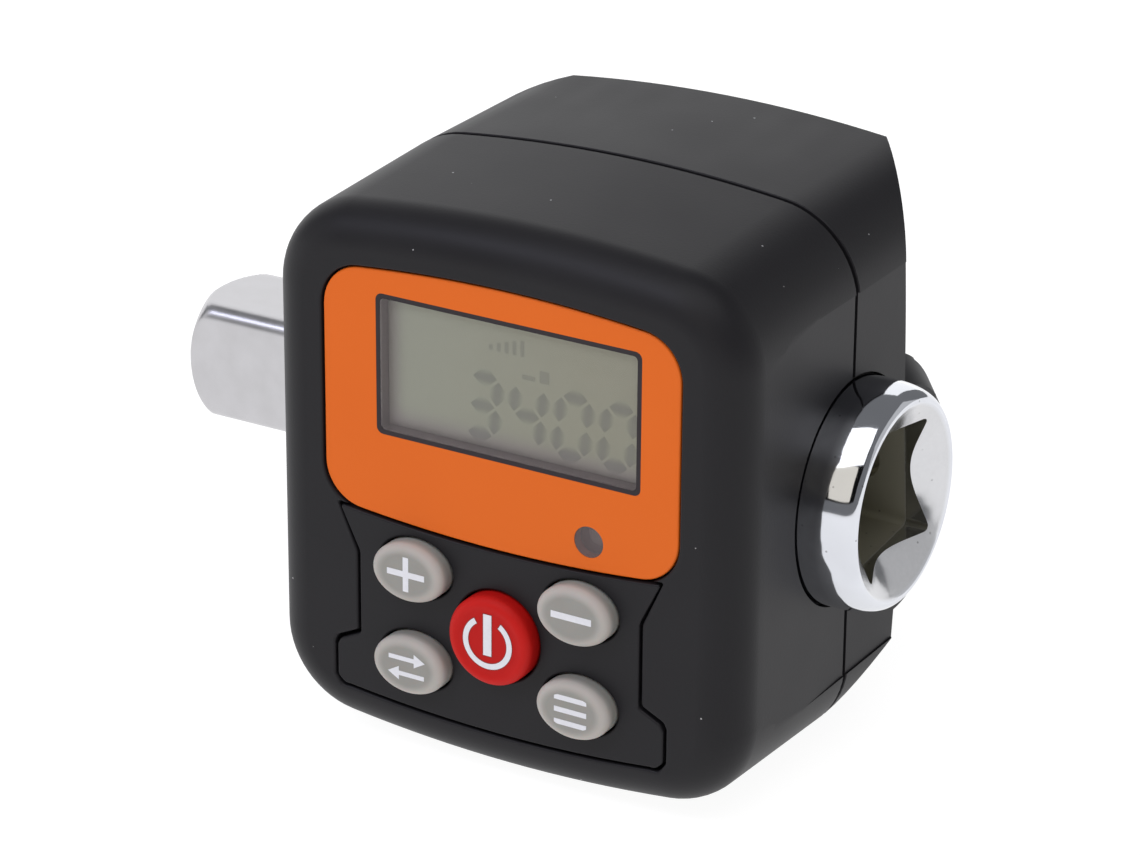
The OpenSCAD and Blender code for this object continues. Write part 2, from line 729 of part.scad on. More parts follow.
small_w = 1.6;
small_h = 0.9;
small_t = 0.8;
small_pitch = 3;
module small_parts() color("#b59a6a") in_case()
  for (i = [-4:4])
    translate([i*small_pitch, board_back_y, -parts_end - small_pitch - small_w])
      box([-small_h/2, 0, -small_w/2], [small_h/2, small_t, small_w/2]);

buzzer_d = 10;
buzzer_t = 3.6;
buzzer_hole = 2;
module buzzer() color("#1a1a1c") in_case()
  difference() {
    rod_y(-chip_x, parts_end, buzzer_d/2, board_back_y, board_back_y + buzzer_t);
    rod_y(-chip_x, parts_end, buzzer_hole/2, board_back_y + buzzer_t/2, board_back_y + buzzer_t + over);
  }

// Drive shaft: a collar with the female square, a torsion section, a shoulder and the male square.
socket_floor = 2.5;
socket_end_x = mouth_x - socket_depth;
collar_end_x = socket_end_x - socket_floor;
shoulder_in = 8.2;
torsion_end_x = shoulder_in - case_w/2;
relief_r = 1.5;
seal_x = case_w/2 - wall/2 - flank_step/2;
seal_groove_w = seal_t + 2*snug;
seal_out = 0.05;
function seal_mid_r(bore) = bore - seal_out - seal_t/2;

module seal_groove(x, bore)
  difference() {
    turned_x([[x - seal_groove_w/2, 0], [x - seal_groove_w/2, bore + over],
      [x + seal_groove_w/2, bore + over], [x + seal_groove_w/2, 0]]);
    turned_x([[x - seal_groove_w, 0], [x - seal_groove_w, seal_mid_r(bore) - seal_t/2 - touch_gap],
      [x + seal_groove_w, seal_mid_r(bore) - seal_t/2 - touch_gap], [x + seal_groove_w, 0]]);
  }

module shaft_round()
  turned_x(concat([[mouth_x, 0]],
    [for (i = [0:dome_steps]) let (a = 90*i/dome_steps)
      [mouth_x - rim_len*(1 - cos(a)), ridge_d/2 + (collar_d - ridge_d)/2*sin(a)]],
    [[collar_end_x, collar_d/2],
      [collar_end_x, torsion_d/2 + relief_r], [collar_end_x - relief_r, torsion_d/2],
      [torsion_end_x + relief_r, torsion_d/2], [torsion_end_x, torsion_d/2 + relief_r],
      [torsion_end_x, shoulder_d/2], [shoulder_x + snug, shoulder_d/2], [shoulder_x, shoulder_d/2 - snug],
      [shoulder_x, 0]]));

module male_end()
  intersection() {
    box([male_end_x - over, -square/2, -square/2], [shoulder_x + over, square/2, square/2]);
    turned_x(concat([[male_end_x, 0]],
      [for (i = [0:dome_steps]) let (a = 90*i/dome_steps)
        [male_end_x + dome_len*(1 - cos(a)), end_flat_d/2 + (male_across - end_flat_d)/2*sin(a)]],
      [[shoulder_x + over, male_across/2], [shoulder_x + over, 0]]));
  }

bowl_low_r = 6.2;
module bowl()
  turned_x([[mouth_x + over, 0], [mouth_x + over, ridge_d/2 + over*tan(bowl_angle)],
    [mouth_x - (ridge_d/2 - bowl_low_r)/tan(bowl_angle), bowl_low_r],
    [mouth_x - (ridge_d/2 - bowl_low_r)/tan(bowl_angle), 0]]);

detent_d = 4.6;
detent_depth = 1.4;
detent_in = 8.5;
ball_x = male_end_x + ball_from_end;
ball_y = square/2 + ball_proud - ball_d/2;
ball_hole_y = -3.2;
ball_play = 0.05;
pin_inset = 0.7;
pin_x = -case_w/2 + wall + saddle_t + pin_inset;
pin_start_y = 6;
pin_end_y = 12.9;
gauge_flat_l = 17;
gauge_x = (collar_end_x + torsion_end_x)/2;

module drive_shaft() color(steel) on_axis()
  difference() {
    union() {
      shaft_round();
      male_end();
    }
    bowl();
    rotate([socket_turn, 0, 0]) {
      box([socket_end_x, -socket_square/2, -socket_square/2],
        [mouth_x + over, socket_square/2, socket_square/2]);
      rod_y(mouth_x - detent_in, 0, detent_d/2, 0, socket_square/2 + detent_depth);
    }
    seal_groove(seal_x, collar_bore);
    seal_groove(-seal_x, shoulder_bore);
    for (s = [-1, 1])
      translate([gauge_x, 0, s*(gauge_flats/2 + over)])
        box([-gauge_flat_l/2, -torsion_d/2, -over], [gauge_flat_l/2, torsion_d/2, over]);
    rod_y(ball_x, 0, ball_d/2 + ball_play, ball_hole_y, square);
    rod_y(pin_x, 0, pin_d/2 + thread_play, pin_start_y, shoulder_d);
  }

module detent_ball() color("#d0d1d4") on_axis() translate([ball_x, ball_y, 0]) sphere(d = ball_d);

spring_gap = 0.1;
module detent_spring() color("#9a9ca0") on_axis()
  rod_y(ball_x, 0, ball_d/2 - snug, ball_hole_y, ball_y - ball_d/2 - spring_gap);

module seal_ring(x, bore)
  translate([x, 0, 0]) rotate([0, 90, 0])
    rotate_extrude($fn = 96) translate([seal_mid_r(bore), 0]) circle(d = seal_t, $fn = 24);
module seal_female() color("#151515") on_axis() seal_ring(seal_x, collar_bore);
module seal_male() color("#151515") on_axis() seal_ring(-seal_x, shoulder_bore);

module locating_pin() color(steel) on_axis() rod_y(pin_x, 0, pin_d/2, pin_start_y, pin_end_y);

// Foil gauges on the shaft's flats, and their flat lead to the board.
gauge_w = 7;
gauge_h = 6;
gauge_t = 0.15;
module strain_gauges() color("#c7752a") on_axis()
  for (s = [-1, 1])
    translate([gauge_x, 0, s*(gauge_flats/2 + gauge_t/2)])
      cube([gauge_w, gauge_h, gauge_t], center = true);

flex_w = 4;
flex_t = 0.3;
flex_rise = 5.5;
module gauge_flex() color("#b8651f") on_axis()
  translate([gauge_x - flex_w/2, 0, gauge_flats/2 + gauge_t]) {
    box([0, -gauge_h/2, 0], [flex_w, gauge_h/2, flex_t]);
    box([0, -gauge_h/2, 0], [flex_w, flex_t - gauge_h/2, flex_rise]);
    box([0, board_back_y, flex_rise - flex_t], [flex_w, flex_t - gauge_h/2, flex_rise]);
  }

// Battery cover: the rounded back of the bay, with four tongues that snap into the rear shell.
module battery_cover() color("#232225") in_case()
  union() {
    difference() {
      intersection() {
        hump(hump_r, bay_w/2, hump_bevel);
        box([-case_w, rear_depth + cover_gap, -case_h], [case_w, rear_depth + hump_r, case_h]);
      }
      hump(hump_r - cover_t, bay_x, inner_bevel);
    }
    intersection() {
      at_tongues(0);
      hump(hump_r - snug, bay_w/2, hump_bevel);
    }
  }

// Cells, their springs and plates, and the leads to the board.
button_d = 3.8;
button_l = 0.8;
module cell(s)
  translate([0, cell_y, bay_z + s*cell_pitch/2])
    turned_x([[-s*cell_long/2, 0], [-s*cell_long/2, cell_d/2], [s*(cell_long/2 - button_l), cell_d/2],
      [s*(cell_long/2 - button_l), button_d/2], [s*cell_long/2, button_d/2], [s*cell_long/2, 0]]);
module battery_upper() color("#4a4b4e") in_case() cell(1);
module battery_lower() color("#4a4b4e") in_case() cell(-1);

spring_d = 5;
spring_tip_d = 3.6;
module battery_springs() color(steel) in_case()
  for (s = [-1, 1])
    translate([0, cell_y, bay_z + s*cell_pitch/2])
      turned_x([[-s*(bay_x - plate_t), 0], [-s*(bay_x - plate_t), spring_d/2],
        [-s*(cell_long/2 + touch_gap), spring_tip_d/2], [-s*(cell_long/2 + touch_gap), 0]]);

plate_h = 5;
module battery_plates() color(steel) in_case()
  for (s = [-1, 1], e = [-1, 1])
    translate([0, cell_y, bay_z + s*cell_pitch/2]) {
      translate([e*(bay_x - plate_t/2), -plate_t, 0]) cube([plate_t, plate_h, plate_h], center = true);
      if (e == s)
        turned_x([[e*(cell_long/2 + touch_gap), 0], [e*(cell_long/2 + touch_gap), button_d/2],
          [e*(bay_x - plate_t/2), button_d/2], [e*(bay_x - plate_t/2), 0]]);
    }

lead_d = 1.2;
lead_in = 15;
lead_x = lead_in + grow_w/2;
lead_clear = 1.3;
lead_z = -collar_d/2 - case_rise - lead_clear;
module battery_leads() color("#a3201c") in_case()
  for (s = [-1, 1]) rod_y(s*lead_x, lead_z, lead_d/2, board_back_y, bay_floor_y - tub_t);

// Case screws: pan heads in counterbores in the back, with shanks into the front bosses.
module case_screws() color("#3a3a3c") in_case()
  at_bosses() {
    rod_y(0, 0, screw_d/2, screw_seat_y - screw_l, screw_seat_y + skin);
    difference() {
      rod_y(0, 0, screw_head_d/2, screw_seat_y, screw_seat_y + screw_head_t);
      translate([0, screw_seat_y + screw_head_t, 0]) {
        box([-cross_w/2, -over, -screw_head_d/3], [cross_w/2, over, screw_head_d/3]);
        box([-screw_head_d/3, -over, -cross_w/2], [screw_head_d/3, over, cross_w/2]);
      }
    }
  }

front_shell();
rear_shell();
display_lens();
lens_gasket();
keypad_panel();
keypad_mat();
plus_key();
minus_key();
power_key();
units_key();
menu_key();
plus_pill();
minus_pill();
power_pill();
units_pill();
menu_pill();
contact_pads();
circuit_board();
board_screws();
lcd_glass();
lcd_holder();
lcd_backlight();
lcd_connectors();
status_led();
main_chip();
amplifier_chip();
small_parts();
buzzer();
drive_shaft();
detent_ball();
detent_spring();
seal_female();
seal_male();
strain_gauges();
gauge_flex();
locating_pin();
battery_cover();
battery_upper();
battery_lower();
battery_springs();
battery_plates();
battery_leads();
case_screws();
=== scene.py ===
# A digital torque adapter: a black gauge case round a chromed square-drive shaft, seen from its
# display side. Everything is in metres in the CAD frame; the sizes below are in millimetres and
# MM turns them to metres. X is the drive axis, -Y the display side and Z up.
import math

import bmesh
import bpy
from mathutils import Matrix, Vector


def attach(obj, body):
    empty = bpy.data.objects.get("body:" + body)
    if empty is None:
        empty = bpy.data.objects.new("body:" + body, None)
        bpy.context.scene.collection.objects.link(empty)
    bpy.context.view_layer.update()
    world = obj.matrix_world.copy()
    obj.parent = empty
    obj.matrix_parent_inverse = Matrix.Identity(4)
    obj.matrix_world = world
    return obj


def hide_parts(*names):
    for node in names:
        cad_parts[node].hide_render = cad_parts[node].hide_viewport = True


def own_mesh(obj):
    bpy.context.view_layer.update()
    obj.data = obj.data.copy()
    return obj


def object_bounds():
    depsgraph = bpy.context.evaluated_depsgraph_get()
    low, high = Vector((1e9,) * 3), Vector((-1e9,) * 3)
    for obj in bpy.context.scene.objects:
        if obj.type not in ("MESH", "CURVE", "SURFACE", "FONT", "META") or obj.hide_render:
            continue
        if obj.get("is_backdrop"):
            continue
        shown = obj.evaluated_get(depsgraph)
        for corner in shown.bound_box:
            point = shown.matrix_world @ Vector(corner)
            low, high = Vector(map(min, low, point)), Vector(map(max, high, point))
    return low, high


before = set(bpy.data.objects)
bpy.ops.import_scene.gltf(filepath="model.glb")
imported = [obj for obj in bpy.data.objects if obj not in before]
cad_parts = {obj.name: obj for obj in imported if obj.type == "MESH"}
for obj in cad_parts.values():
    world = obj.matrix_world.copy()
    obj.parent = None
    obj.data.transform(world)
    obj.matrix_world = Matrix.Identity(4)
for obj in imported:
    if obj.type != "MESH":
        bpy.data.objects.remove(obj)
cad_low, cad_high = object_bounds()
MM = 0.001

# ---------------------------------------------------------------- Studio
# A white sweep under soft boxes, as for a catalogue picture. The floor is matt white paint that
# lies just under the case, and the boxes are large, so the shadows are faint.
floor_reach, floor_drop, floor_glow = 4.0, 0.2 * MM, 0.93
sky_tone, sky_strength = "#eef0f4", 0.22
middle = Vector((-33.0, 0.0, 0.0)) * MM
# Each box: the direction it stands in, its distance and size in metres, its watts and its tone.
boxes = {
    "key_box": ((0.12, -0.36, 0.92), 0.85, (0.95, 0.66), 3.6, "#fdfdff"),
    "left_box": ((-0.9, -0.55, 0.35), 1.0, (0.7, 0.7), 0.8, "#ffffff"),
    "front_box": ((0.10, -0.86, 0.50), 1.1, (0.8, 0.66), 1.5, "#fff9ec"),
    "edge_box": ((-0.38, -0.60, 0.70), 1.1, (0.45, 0.35), 2.6, "#e6e9ff"),
    "back_box": ((-0.62, 0.72, 0.34), 1.1, (1.4, 1.0), 4.5, "#ffffff"),
    "right_box": ((0.80, 0.55, 0.25), 1.0, (1.1, 0.9), 1.3, "#ffffff"),
}
card_away, card_distance, card_half = Vector((0.11, -0.63, 0.73)).normalized(), 1.25, 0.95


def colour(code):
    """A hex sRGB colour as linear RGBA."""
    parts = [int(code[i : i + 2], 16) / 255 for i in (1, 3, 5)]
    return [c / 12.92 if c <= 0.04045 else ((c + 0.055) / 1.055) ** 2.4 for c in parts] + [1.0]


def node(tree, kind, inputs=None, **settings):
    """Adds a node. Each input takes a number, a hex colour, a socket, or a node's first output."""
    made = tree.nodes.new(kind)
    for key, value in settings.items():
        setattr(made, key, value)
    for key, value in (inputs or {}).items():
        if isinstance(value, bpy.types.Node):
            value = next(output for output in value.outputs if output.enabled)
        if isinstance(value, bpy.types.NodeSocket):
            tree.links.new(value, made.inputs[key])
        else:
            made.inputs[key].default_value = colour(value) if isinstance(value, str) else value
    return made


def material(name):
    """A new material, its empty tree and the object's own coordinates."""
    made = bpy.data.materials.new(name)
    made.use_nodes = True
    made.node_tree.nodes.clear()
    return made, made.node_tree, node(made.node_tree, "ShaderNodeTexCoord").outputs["Object"]


def placed(name, mesh):
    """An object for a mesh, at the origin of the scene."""
    made = bpy.data.objects.new(name, mesh)
    bpy.context.scene.collection.objects.link(made)
    return made


def studio_board(name, corners, finish):
    """A flat board that isn't part of the object."""
    mesh = bpy.data.meshes.new(name)
    mesh.from_pydata(corners, [], [(0, 1, 2, 3)])
    mesh.materials.append(finish)
    placed(name, mesh)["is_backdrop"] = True


# Matt wall paint, lit from behind like a light table: it burns out to white round the object.
paint, tree, at = material("matt_white_paint")
grain = node(tree, "ShaderNodeTexNoise", {"Scale": 60.0, "Detail": 4.0})
tint = node(tree, "ShaderNodeMix", {0: grain, 6: "#848484", 7: "#8a8a8a"}, data_type="RGBA")
matt = node(tree, "ShaderNodeBsdfDiffuse", {"Color": tint, "Roughness": 0.4})
glow = node(tree, "ShaderNodeEmission", {"Color": "#ffffff", "Strength": floor_glow})
both = node(tree, "ShaderNodeAddShader", {0: matt, 1: glow})
node(tree, "ShaderNodeOutputMaterial", {"Surface": both})
square = ((-1, -1), (1, -1), (1, 1), (-1, 1))
foot = cad_low.z - floor_drop
studio_board("floor", [(x * floor_reach, y * floor_reach, foot) for x, y in square], paint)

world = bpy.data.worlds.new("studio")
world.use_nodes = True
bpy.context.scene.world = world
sky = world.node_tree.nodes["Background"]
sky.inputs["Color"].default_value = colour(sky_tone)
sky.inputs["Strength"].default_value = sky_strength

for name, (direction, distance, size, watts, tone) in boxes.items():
    data = bpy.data.lights.new(name, "AREA")
    data.shape = "RECTANGLE"
    data.size, data.size_y = size
    data.energy = watts
    data.color = colour(tone)[:3]
    lamp = placed(name, data)
    away = Vector(direction).normalized()
    lamp.location = middle + away * distance
    lamp.rotation_euler = away.to_track_quat("Z", "Y").to_euler()

# A black card stands behind the two front boxes, so the chrome shows them with dark edges.
velvet, tree, at = material("black_card")
nap = node(tree, "ShaderNodeBsdfDiffuse", {"Color": "#141414", "Roughness": 0.8})
node(tree, "ShaderNodeOutputMaterial", {"Surface": nap})
card_turn = card_away.to_track_quat("Z", "Y")
corners = [Vector((x * card_half, y * card_half, card_distance)) for x, y in square]
studio_board("black_card", [middle + card_turn @ corner for corner in corners], velvet)

# The camera stands where the photograph was taken from, worked out from the case's edges.
camera_data = bpy.data.cameras.new("camera")
camera_data.lens, camera_data.sensor_width = 139.4, 36.0
camera_data.clip_start, camera_data.clip_end = 0.01, 20.0
camera = placed("camera", camera_data)
azimuth, elevation, roll = (math.radians(a) for a in (30.6862, 23.0296, 0.4425))
flat = math.cos(elevation)
back = Vector((math.sin(azimuth) * flat, -math.cos(azimuth) * flat, math.sin(elevation)))
level = (-back).cross(Vector((0, 0, 1))).normalized()
upright = level.cross(-back)
right = level * math.cos(roll) + upright * math.sin(roll)
up = upright * math.cos(roll) - level * math.sin(roll)
turn = Matrix((right, up, back)).transposed().to_4x4()
camera.matrix_world = Matrix.Translation(Vector((175.54, -361.13, 177.94)) * MM) @ turn
bpy.context.scene.camera = camera
bpy.context.scene.view_settings.view_transform = "Standard"

# ---------------------------------------------------------------- Front shell
# The deep front half of the case: glass-filled nylon, moulded with a fine spark-eroded skin. It
# has a rounded face, a pocket for the lens and one for the key panel, and half of each bore.
CASE_X, CASE_Z = -33.1, 0.2
in_case, on_shaft = (CASE_X, 0.0, CASE_Z), (0.0, 0.0, 0.0)
case_w, case_h, front_h = 54.4, 60.2, 58.6
crown_r, corner_r = 158.0, 9.6
wall, edge_r = 2.2, 4.5
face_y, inner_y, shelf_y, draft_y = -23.5, -20.3, -21.9, -0.38
gap, seam_ease = 0.3, 0.14
lens_w, lens_top, lens_low, lens_r, lens_gap, lens_mouth_r = 40.8, 23.24, -4.34, 4.6, 0.2, 0.22
window_x, window_z, window_w, window_h = 0.95, 12.7, 30.3, 15.0
led_x, led_z, led_hole_r = 10.37, -0.92, 1.65
panel_low, panel_back_y, panel_gap, panel_mouth_r = -24.5, -21.5, 0.3, 0.26
key_opening_x, key_opening_z = 14.6, (-22.3, -5.0)
flank_half, flank_step, flank_fade = 20.8, 0.3, 18.0
collar_bore, shoulder_bore, bore_reach = 12.05, 11.25, 40
# A lip on the front shell fills a rebate in the rear one, so the parting line is a closed groove.
lip_out, lip_in, lip_y, lip_root_y = 1.0, 2.35, 0.9, -1.6


def arc(cx, cz, r, a0, a1, n):
    """Points on an arc, both ends among them."""
    turns = (math.radians(a0 + (a1 - a0) * i / n) for i in range(n + 1))
    return [(cx + r * math.cos(a), cz + r * math.sin(a)) for a in turns]


def crowned(w, top, low, r, corner=14, crown=16):
    """A round-cornered outline with crowned top and bottom."""
    cx = w / 2 - r
    dz = math.sqrt((crown_r - r) ** 2 - cx**2)
    at = math.degrees(math.atan2(dz, cx))
    zt, zl = top - crown_r + dz, low + crown_r - dz
    return (
        arc(cx, zt, r, 0, at, corner)
        + arc(0, top - crown_r, crown_r, at, 180 - at, crown)[1:-1]
        + arc(-cx, zt, r, 180 - at, 180, corner)
        + arc(-cx, zl, r, 180, 180 + at, corner)
        + arc(0, low + crown_r, crown_r, 180 + at, 360 - at, crown)[1:-1]
        + arc(cx, zl, r, 360 - at, 360, corner)
    )


def case_outline(h, d):
    """The case's outline at height h, drawn in by d."""
    return crowned(case_w - 2 * d, h / 2 - d, d - h / 2, corner_r - d)


def lens_outline(g):
    """The lens's outline, grown by g."""
    return crowned(lens_w + 2 * g, lens_top + g, lens_low - g, lens_r + g, corner=12)


def soft_polygon(corners, steps=6):
    """An outline whose corners (x, z, radius) are rounded."""
    made, n = [], len(corners)
    for i, (x, z, r) in enumerate(corners):
        here, last, ahead = (Vector(corners[k % n][:2]) for k in (i, i - 1, i + 1))
        a, b = (last - here).normalized(), (ahead - here).normalized()
        half = a.angle(b) / 2
        r = min(r, math.tan(half) * 0.45 * min((last - here).length, (ahead - here).length))
        if r < 0.02 or half > math.radians(89):
            made.append((x, z))
            continue
        centre = here + (a + b).normalized() * (r / math.sin(half))
        start, end = (here + side * (r / math.tan(half)) - centre for side in (a, b))
        sweep = start.angle_signed(end)
        for k in range(steps + 1):
            spot = centre + Matrix.Rotation(-sweep * k / steps, 2) @ start
            made.append((spot.x, spot.y))
    return made


def panel_outline(g):
    """The key panel's outline, grown by g: waisted, with soft corners."""
    top_z, low_z = lens_low - 0.25 + g, panel_low - g
    right_side = [
        (18.6 + g, -3.5 + g, 0.2),
        (16.3 + g, -8.2, 1.6),
        (16.3 + g, -17.35 + g, 0.5),
        (18.8 + g, -18.55 + g, 0.7),
        (19.15 + g, -19.25 + g, 0.5),
        (19.15 + g, -22.7, 0.6),
        (18.35 + g, -23.5 - g, 0.8),
    ]
    low, top = (
        [(x, z + crown_r - math.sqrt(crown_r**2 - x * x), 0.0) for x in xs]
        for z, xs in (
            (low_z, [17.55 - 35.1 * i / 12 for i in range(13)]),
            (top_z, [-16.3 + 32.6 * i / 12 for i in range(13)]),
        )
    )
    left_side = [(-x, z, r) for x, z, r in reversed(right_side)]
    return soft_polygon(right_side + low + left_side + top)


def quarter(steps, first=0):
    """A quarter round as shares of its radius: still to rise, and drawn in."""
    turns = (math.pi / 2 * i / steps for i in range(first, steps + 1))
    return [(1 - math.sin(a), 1 - math.cos(a)) for a in turns]


def standing(outline, y):
    """An outline in the XZ plane at depth y."""
    return [(x, y, z) for x, z in outline]


def piece(name, points, faces, place):
    """A mesh object from points in millimetres, moved by `place` within its mesh."""
    mesh = bpy.data.meshes.new(name)
    moved = [tuple((a + b) * MM for a, b in zip(point, place)) for point in points]
    mesh.from_pydata(moved, [], faces)
    shape = bmesh.new()
    shape.from_mesh(mesh)
    bmesh.ops.remove_doubles(shape, verts=shape.verts, dist=1e-7)
    bmesh.ops.recalc_face_normals(shape, faces=shape.faces)
    shape.to_mesh(mesh)
    shape.free()
    return placed(name, mesh)


def loft(name, rings, place=in_case):
    """A skin over rings of equally many points, with a flat cap at each end."""
    n, last = len(rings[0]), len(rings) - 1
    points = [p for ring in rings for p in ring]
    faces = [
        (i * n + j, i * n + (j + 1) % n, (i + 1) * n + (j + 1) % n, (i + 1) * n + j)
        for i in range(last)
        for j in range(n)
    ]
    faces += [tuple(range(n))[::-1], tuple(range(last * n, (last + 1) * n))]
    return piece(name, points, faces, place)


def block(name, low, high, place=in_case):
    """A box between two corners."""
    (x0, y0, z0), (x1, y1, z1) = low, high
    return loft(name, [[(x0, y, z0), (x1, y, z0), (x1, y, z1), (x0, y, z1)] for y in (y0, y1)], place)


def turned(name, profile, axis, place=on_shaft, steps=96):
    """A profile of (distance along the axis, radius) spun round the X or Y axis."""
    turns = [2 * math.pi * k / steps for k in range(steps)]
    rings = []
    for along, r in profile:
        ring = [(max(r, 1e-4) * math.cos(a), max(r, 1e-4) * math.sin(a)) for a in turns]
        rings.append([(along, a, b) if axis == "X" else (a, along, b) for a, b in ring])
    return loft(name, rings, place)


def rod(name, x, z, r, y0, y1, steps=48):
    """A round bar along Y at a place in the case."""
    return turned(name, [(y0, r), (y1, r)], "Y", (x + CASE_X, 0.0, z + CASE_Z), steps)


def shaft_bores():
    """The cutters for the holes that the collar and the shoulder sit in."""
    ends = (("collar_bore", collar_bore, 0, bore_reach), ("shoulder_bore", shoulder_bore, -bore_reach, 0))
    return [turned(name, [(x0, r), (x1, r)], "X", (CASE_X, 0, 0)) for name, r, x0, x1 in ends]


def pocket(name, outline, gap_at, depth_y, round_r):
    """A cutter whose mouth in the face is rounded by round_r."""
    rings = [standing(outline(gap_at + round_r + 0.6), face_y - 0.6)]
    rings += [standing(outline(gap_at + round_r * up), face_y + round_r * drawn) for up, drawn in quarter(4)]
    return loft(name, rings + [standing(outline(gap_at), depth_y)])


def window_form(name, y0, y1, g, r):
    """The window's rounded rectangle, grown by g, from y0 to y1."""
    hw, hh = window_w / 2 + g, window_h / 2 + g
    rim = soft_polygon([(hw, -hh, r), (hw, hh, r), (-hw, hh, r), (-hw, -hh, r)])
    place = (window_x + CASE_X, 0.0, window_z + CASE_Z)
    return loft(name, [standing(rim, y0), standing(rim, y1)], place)


def case_band(name, outer, inner, y0, y1):
    """A band that follows the case's outline between two distances inside it."""
    band, core = (
        loft(name, [standing(case_outline(case_h, d), y) for y in ends])
        for d, ends in ((outer, (y0, y1)), (inner, (y0 - 1, y1 + 1)))
    )
    return worked(band, "DIFFERENCE", core)


def baked(shape):
    """Applies the modifiers of a piece and gives it back as a plain mesh."""
    bpy.context.view_layer.update()
    mesh = bpy.data.meshes.new_from_object(shape.evaluated_get(bpy.context.evaluated_depsgraph_get()))
    shape.modifiers.clear()
    old, shape.data = shape.data, mesh
    mesh.name = old.name + "_mesh"
    bpy.data.meshes.remove(old)
    return shape


def worked(shape, kind, *tools):
    """Cuts, joins or crosses a piece with others, one after another, and removes the tools."""
    for tool in tools:
        change = shape.modifiers.new(kind, "BOOLEAN")
        change.operation, change.solver, change.object = kind, "EXACT", tool
        baked(shape)
        bpy.data.meshes.remove(tool.data)
    return shape


def finished(shape, finish, body, *stands_for, sharp=28.0, weighted=True):
    """Smooths a piece up to its edges, gives it its material and ties it to its body."""
    shape.data.materials.clear()
    shape.data.materials.append(finish)
    shape.data.shade_smooth()
    shape.data.set_sharp_from_angle(angle=math.radians(sharp))
    if weighted:
        shape.modifiers.new("shade", "WEIGHTED_NORMAL").keep_sharp = True
        baked(shape)
    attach(shape, body)
    if stands_for:
        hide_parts(*stands_for)
    return shape


def per_mm(size):
    """The scale of a texture whose pattern repeats about every `size` millimetres."""
    return 1 / (size * MM)


def surfaced(made, inputs):
    """Ends a material in one surface."""
    surface = node(made.node_tree, "ShaderNodeBsdfPrincipled", inputs)
    node(made.node_tree, "ShaderNodeOutputMaterial", {"Surface": surface})
    return made


def moulded_plastic(name, dark, light, grit_mm, rough):
    """Moulded plastic: a fine grit in the skin, slightly cloudy gloss, and a few dust specks."""
    made, tree, at = material(name)
    grit = {"Vector": at, "Scale": per_mm(grit_mm), "Detail": 3.0, "Roughness": 0.6}
    grit = node(tree, "ShaderNodeTexNoise", grit)
    cloud = node(tree, "ShaderNodeTexNoise", {"Vector": at, "Scale": per_mm(14), "Detail": 3.0})
    tint = node(tree, "ShaderNodeMix", {0: cloud, 6: dark, 7: light}, data_type="RGBA")
    cells = node(tree, "ShaderNodeTexVoronoi", {"Vector": at, "Scale": per_mm(3.2), "Randomness": 1.0})
    near = node(tree, "ShaderNodeMath", {0: cells.outputs["Distance"], 1: 0.036}, operation="LESS_THAN")
    pick = node(tree, "ShaderNodeSeparateColor", {0: cells.outputs["Color"]})
    rare = node(tree, "ShaderNodeMath", {0: pick, 1: 0.35}, operation="GREATER_THAN")
    speck = node(tree, "ShaderNodeMath", {0: near, 1: rare}, operation="MULTIPLY")
    dusty = node(tree, "ShaderNodeMix", {0: speck, 6: tint, 7: "#a5a4a6"}, data_type="RGBA")
    gloss = node(tree, "ShaderNodeMapRange", {0: cloud, 3: rough - 0.05, 4: rough + 0.06})
    skin = node(tree, "ShaderNodeBump", {"Height": grit, "Strength": 0.35, "Distance": 0.03 * MM})
    surface = {"Base Color": dusty, "Roughness": gloss, "Normal": skin, "IOR": 1.5}
    return surfaced(made, surface | {"Specular IOR Level": 0.2})


# Nylon with a spark-eroded skin: deep grey-black, with a wide soft sheen along its roundings. The
# grit is drawn 0.3 mm across, coarser than the real 0.05 mm, so that it shows.
case_plastic = moulded_plastic("moulded_glass_filled_nylon", "#1b1a1d", "#222124", 0.3, 0.46)

# The outside: straight draft from the parting line, then the rounding into the face.
stations = [(-gap, seam_ease, case_h)]
stations += [(-gap - step, 0.0, case_h) for step in (seam_ease, seam_ease + 0.1)]
for share in (i / 10 for i in range(1, 11)):
    y = draft_y + (face_y + edge_r - draft_y) * share
    stations.append((y, 0.0, case_h + (front_h - case_h) * share))
stations += [(face_y + edge_r * up, edge_r * drawn, front_h) for up, drawn in quarter(14, 1)]
front = loft("front_shell_skin", [standing(case_outline(h, d), y) for y, d, h in stations])
inside = ((inner_y, wall + 2, front_h), (inner_y + 2, wall, front_h), (1.0, wall, case_h))
worked(front, "DIFFERENCE", loft("hollow", [standing(case_outline(h, d), y) for y, d, h in inside]))
worked(front, "UNION", case_band("lip", lip_out, lip_in, lip_root_y, lip_y))
worked(
    front,
    "DIFFERENCE",
    pocket("lens_pocket", lens_outline, lens_gap, shelf_y, lens_mouth_r),
    pocket("panel_pocket", panel_outline, panel_gap, panel_back_y, panel_mouth_r),
    window_form("window_cut", face_y, inner_y + 1, -0.5, 0.6),
    rod("light_hole", led_x, led_z, led_hole_r, face_y, inner_y + 1),
    block(
        "key_opening",
        (-key_opening_x, face_y - 1, key_opening_z[0]),
        (key_opening_x, inner_y + 1, key_opening_z[1]),
    ),
    *shaft_bores(),
)
for side in (-1, 1):
    step_x, side_x, clear_x = (side * (case_w / 2 + d) for d in (-flank_step, 0, 1))
    flat = [(step_x, 1.0), (step_x, 0.0), (side_x, -flank_fade), (clear_x, -flank_fade), (clear_x, 1.0)]
    wedge = loft("wedge", [[(x, y, z) for x, y in flat] for z in (-flank_half, flank_half)])
    worked(front, "DIFFERENCE", wedge)
finished(front, case_plastic, "case", "front_shell")

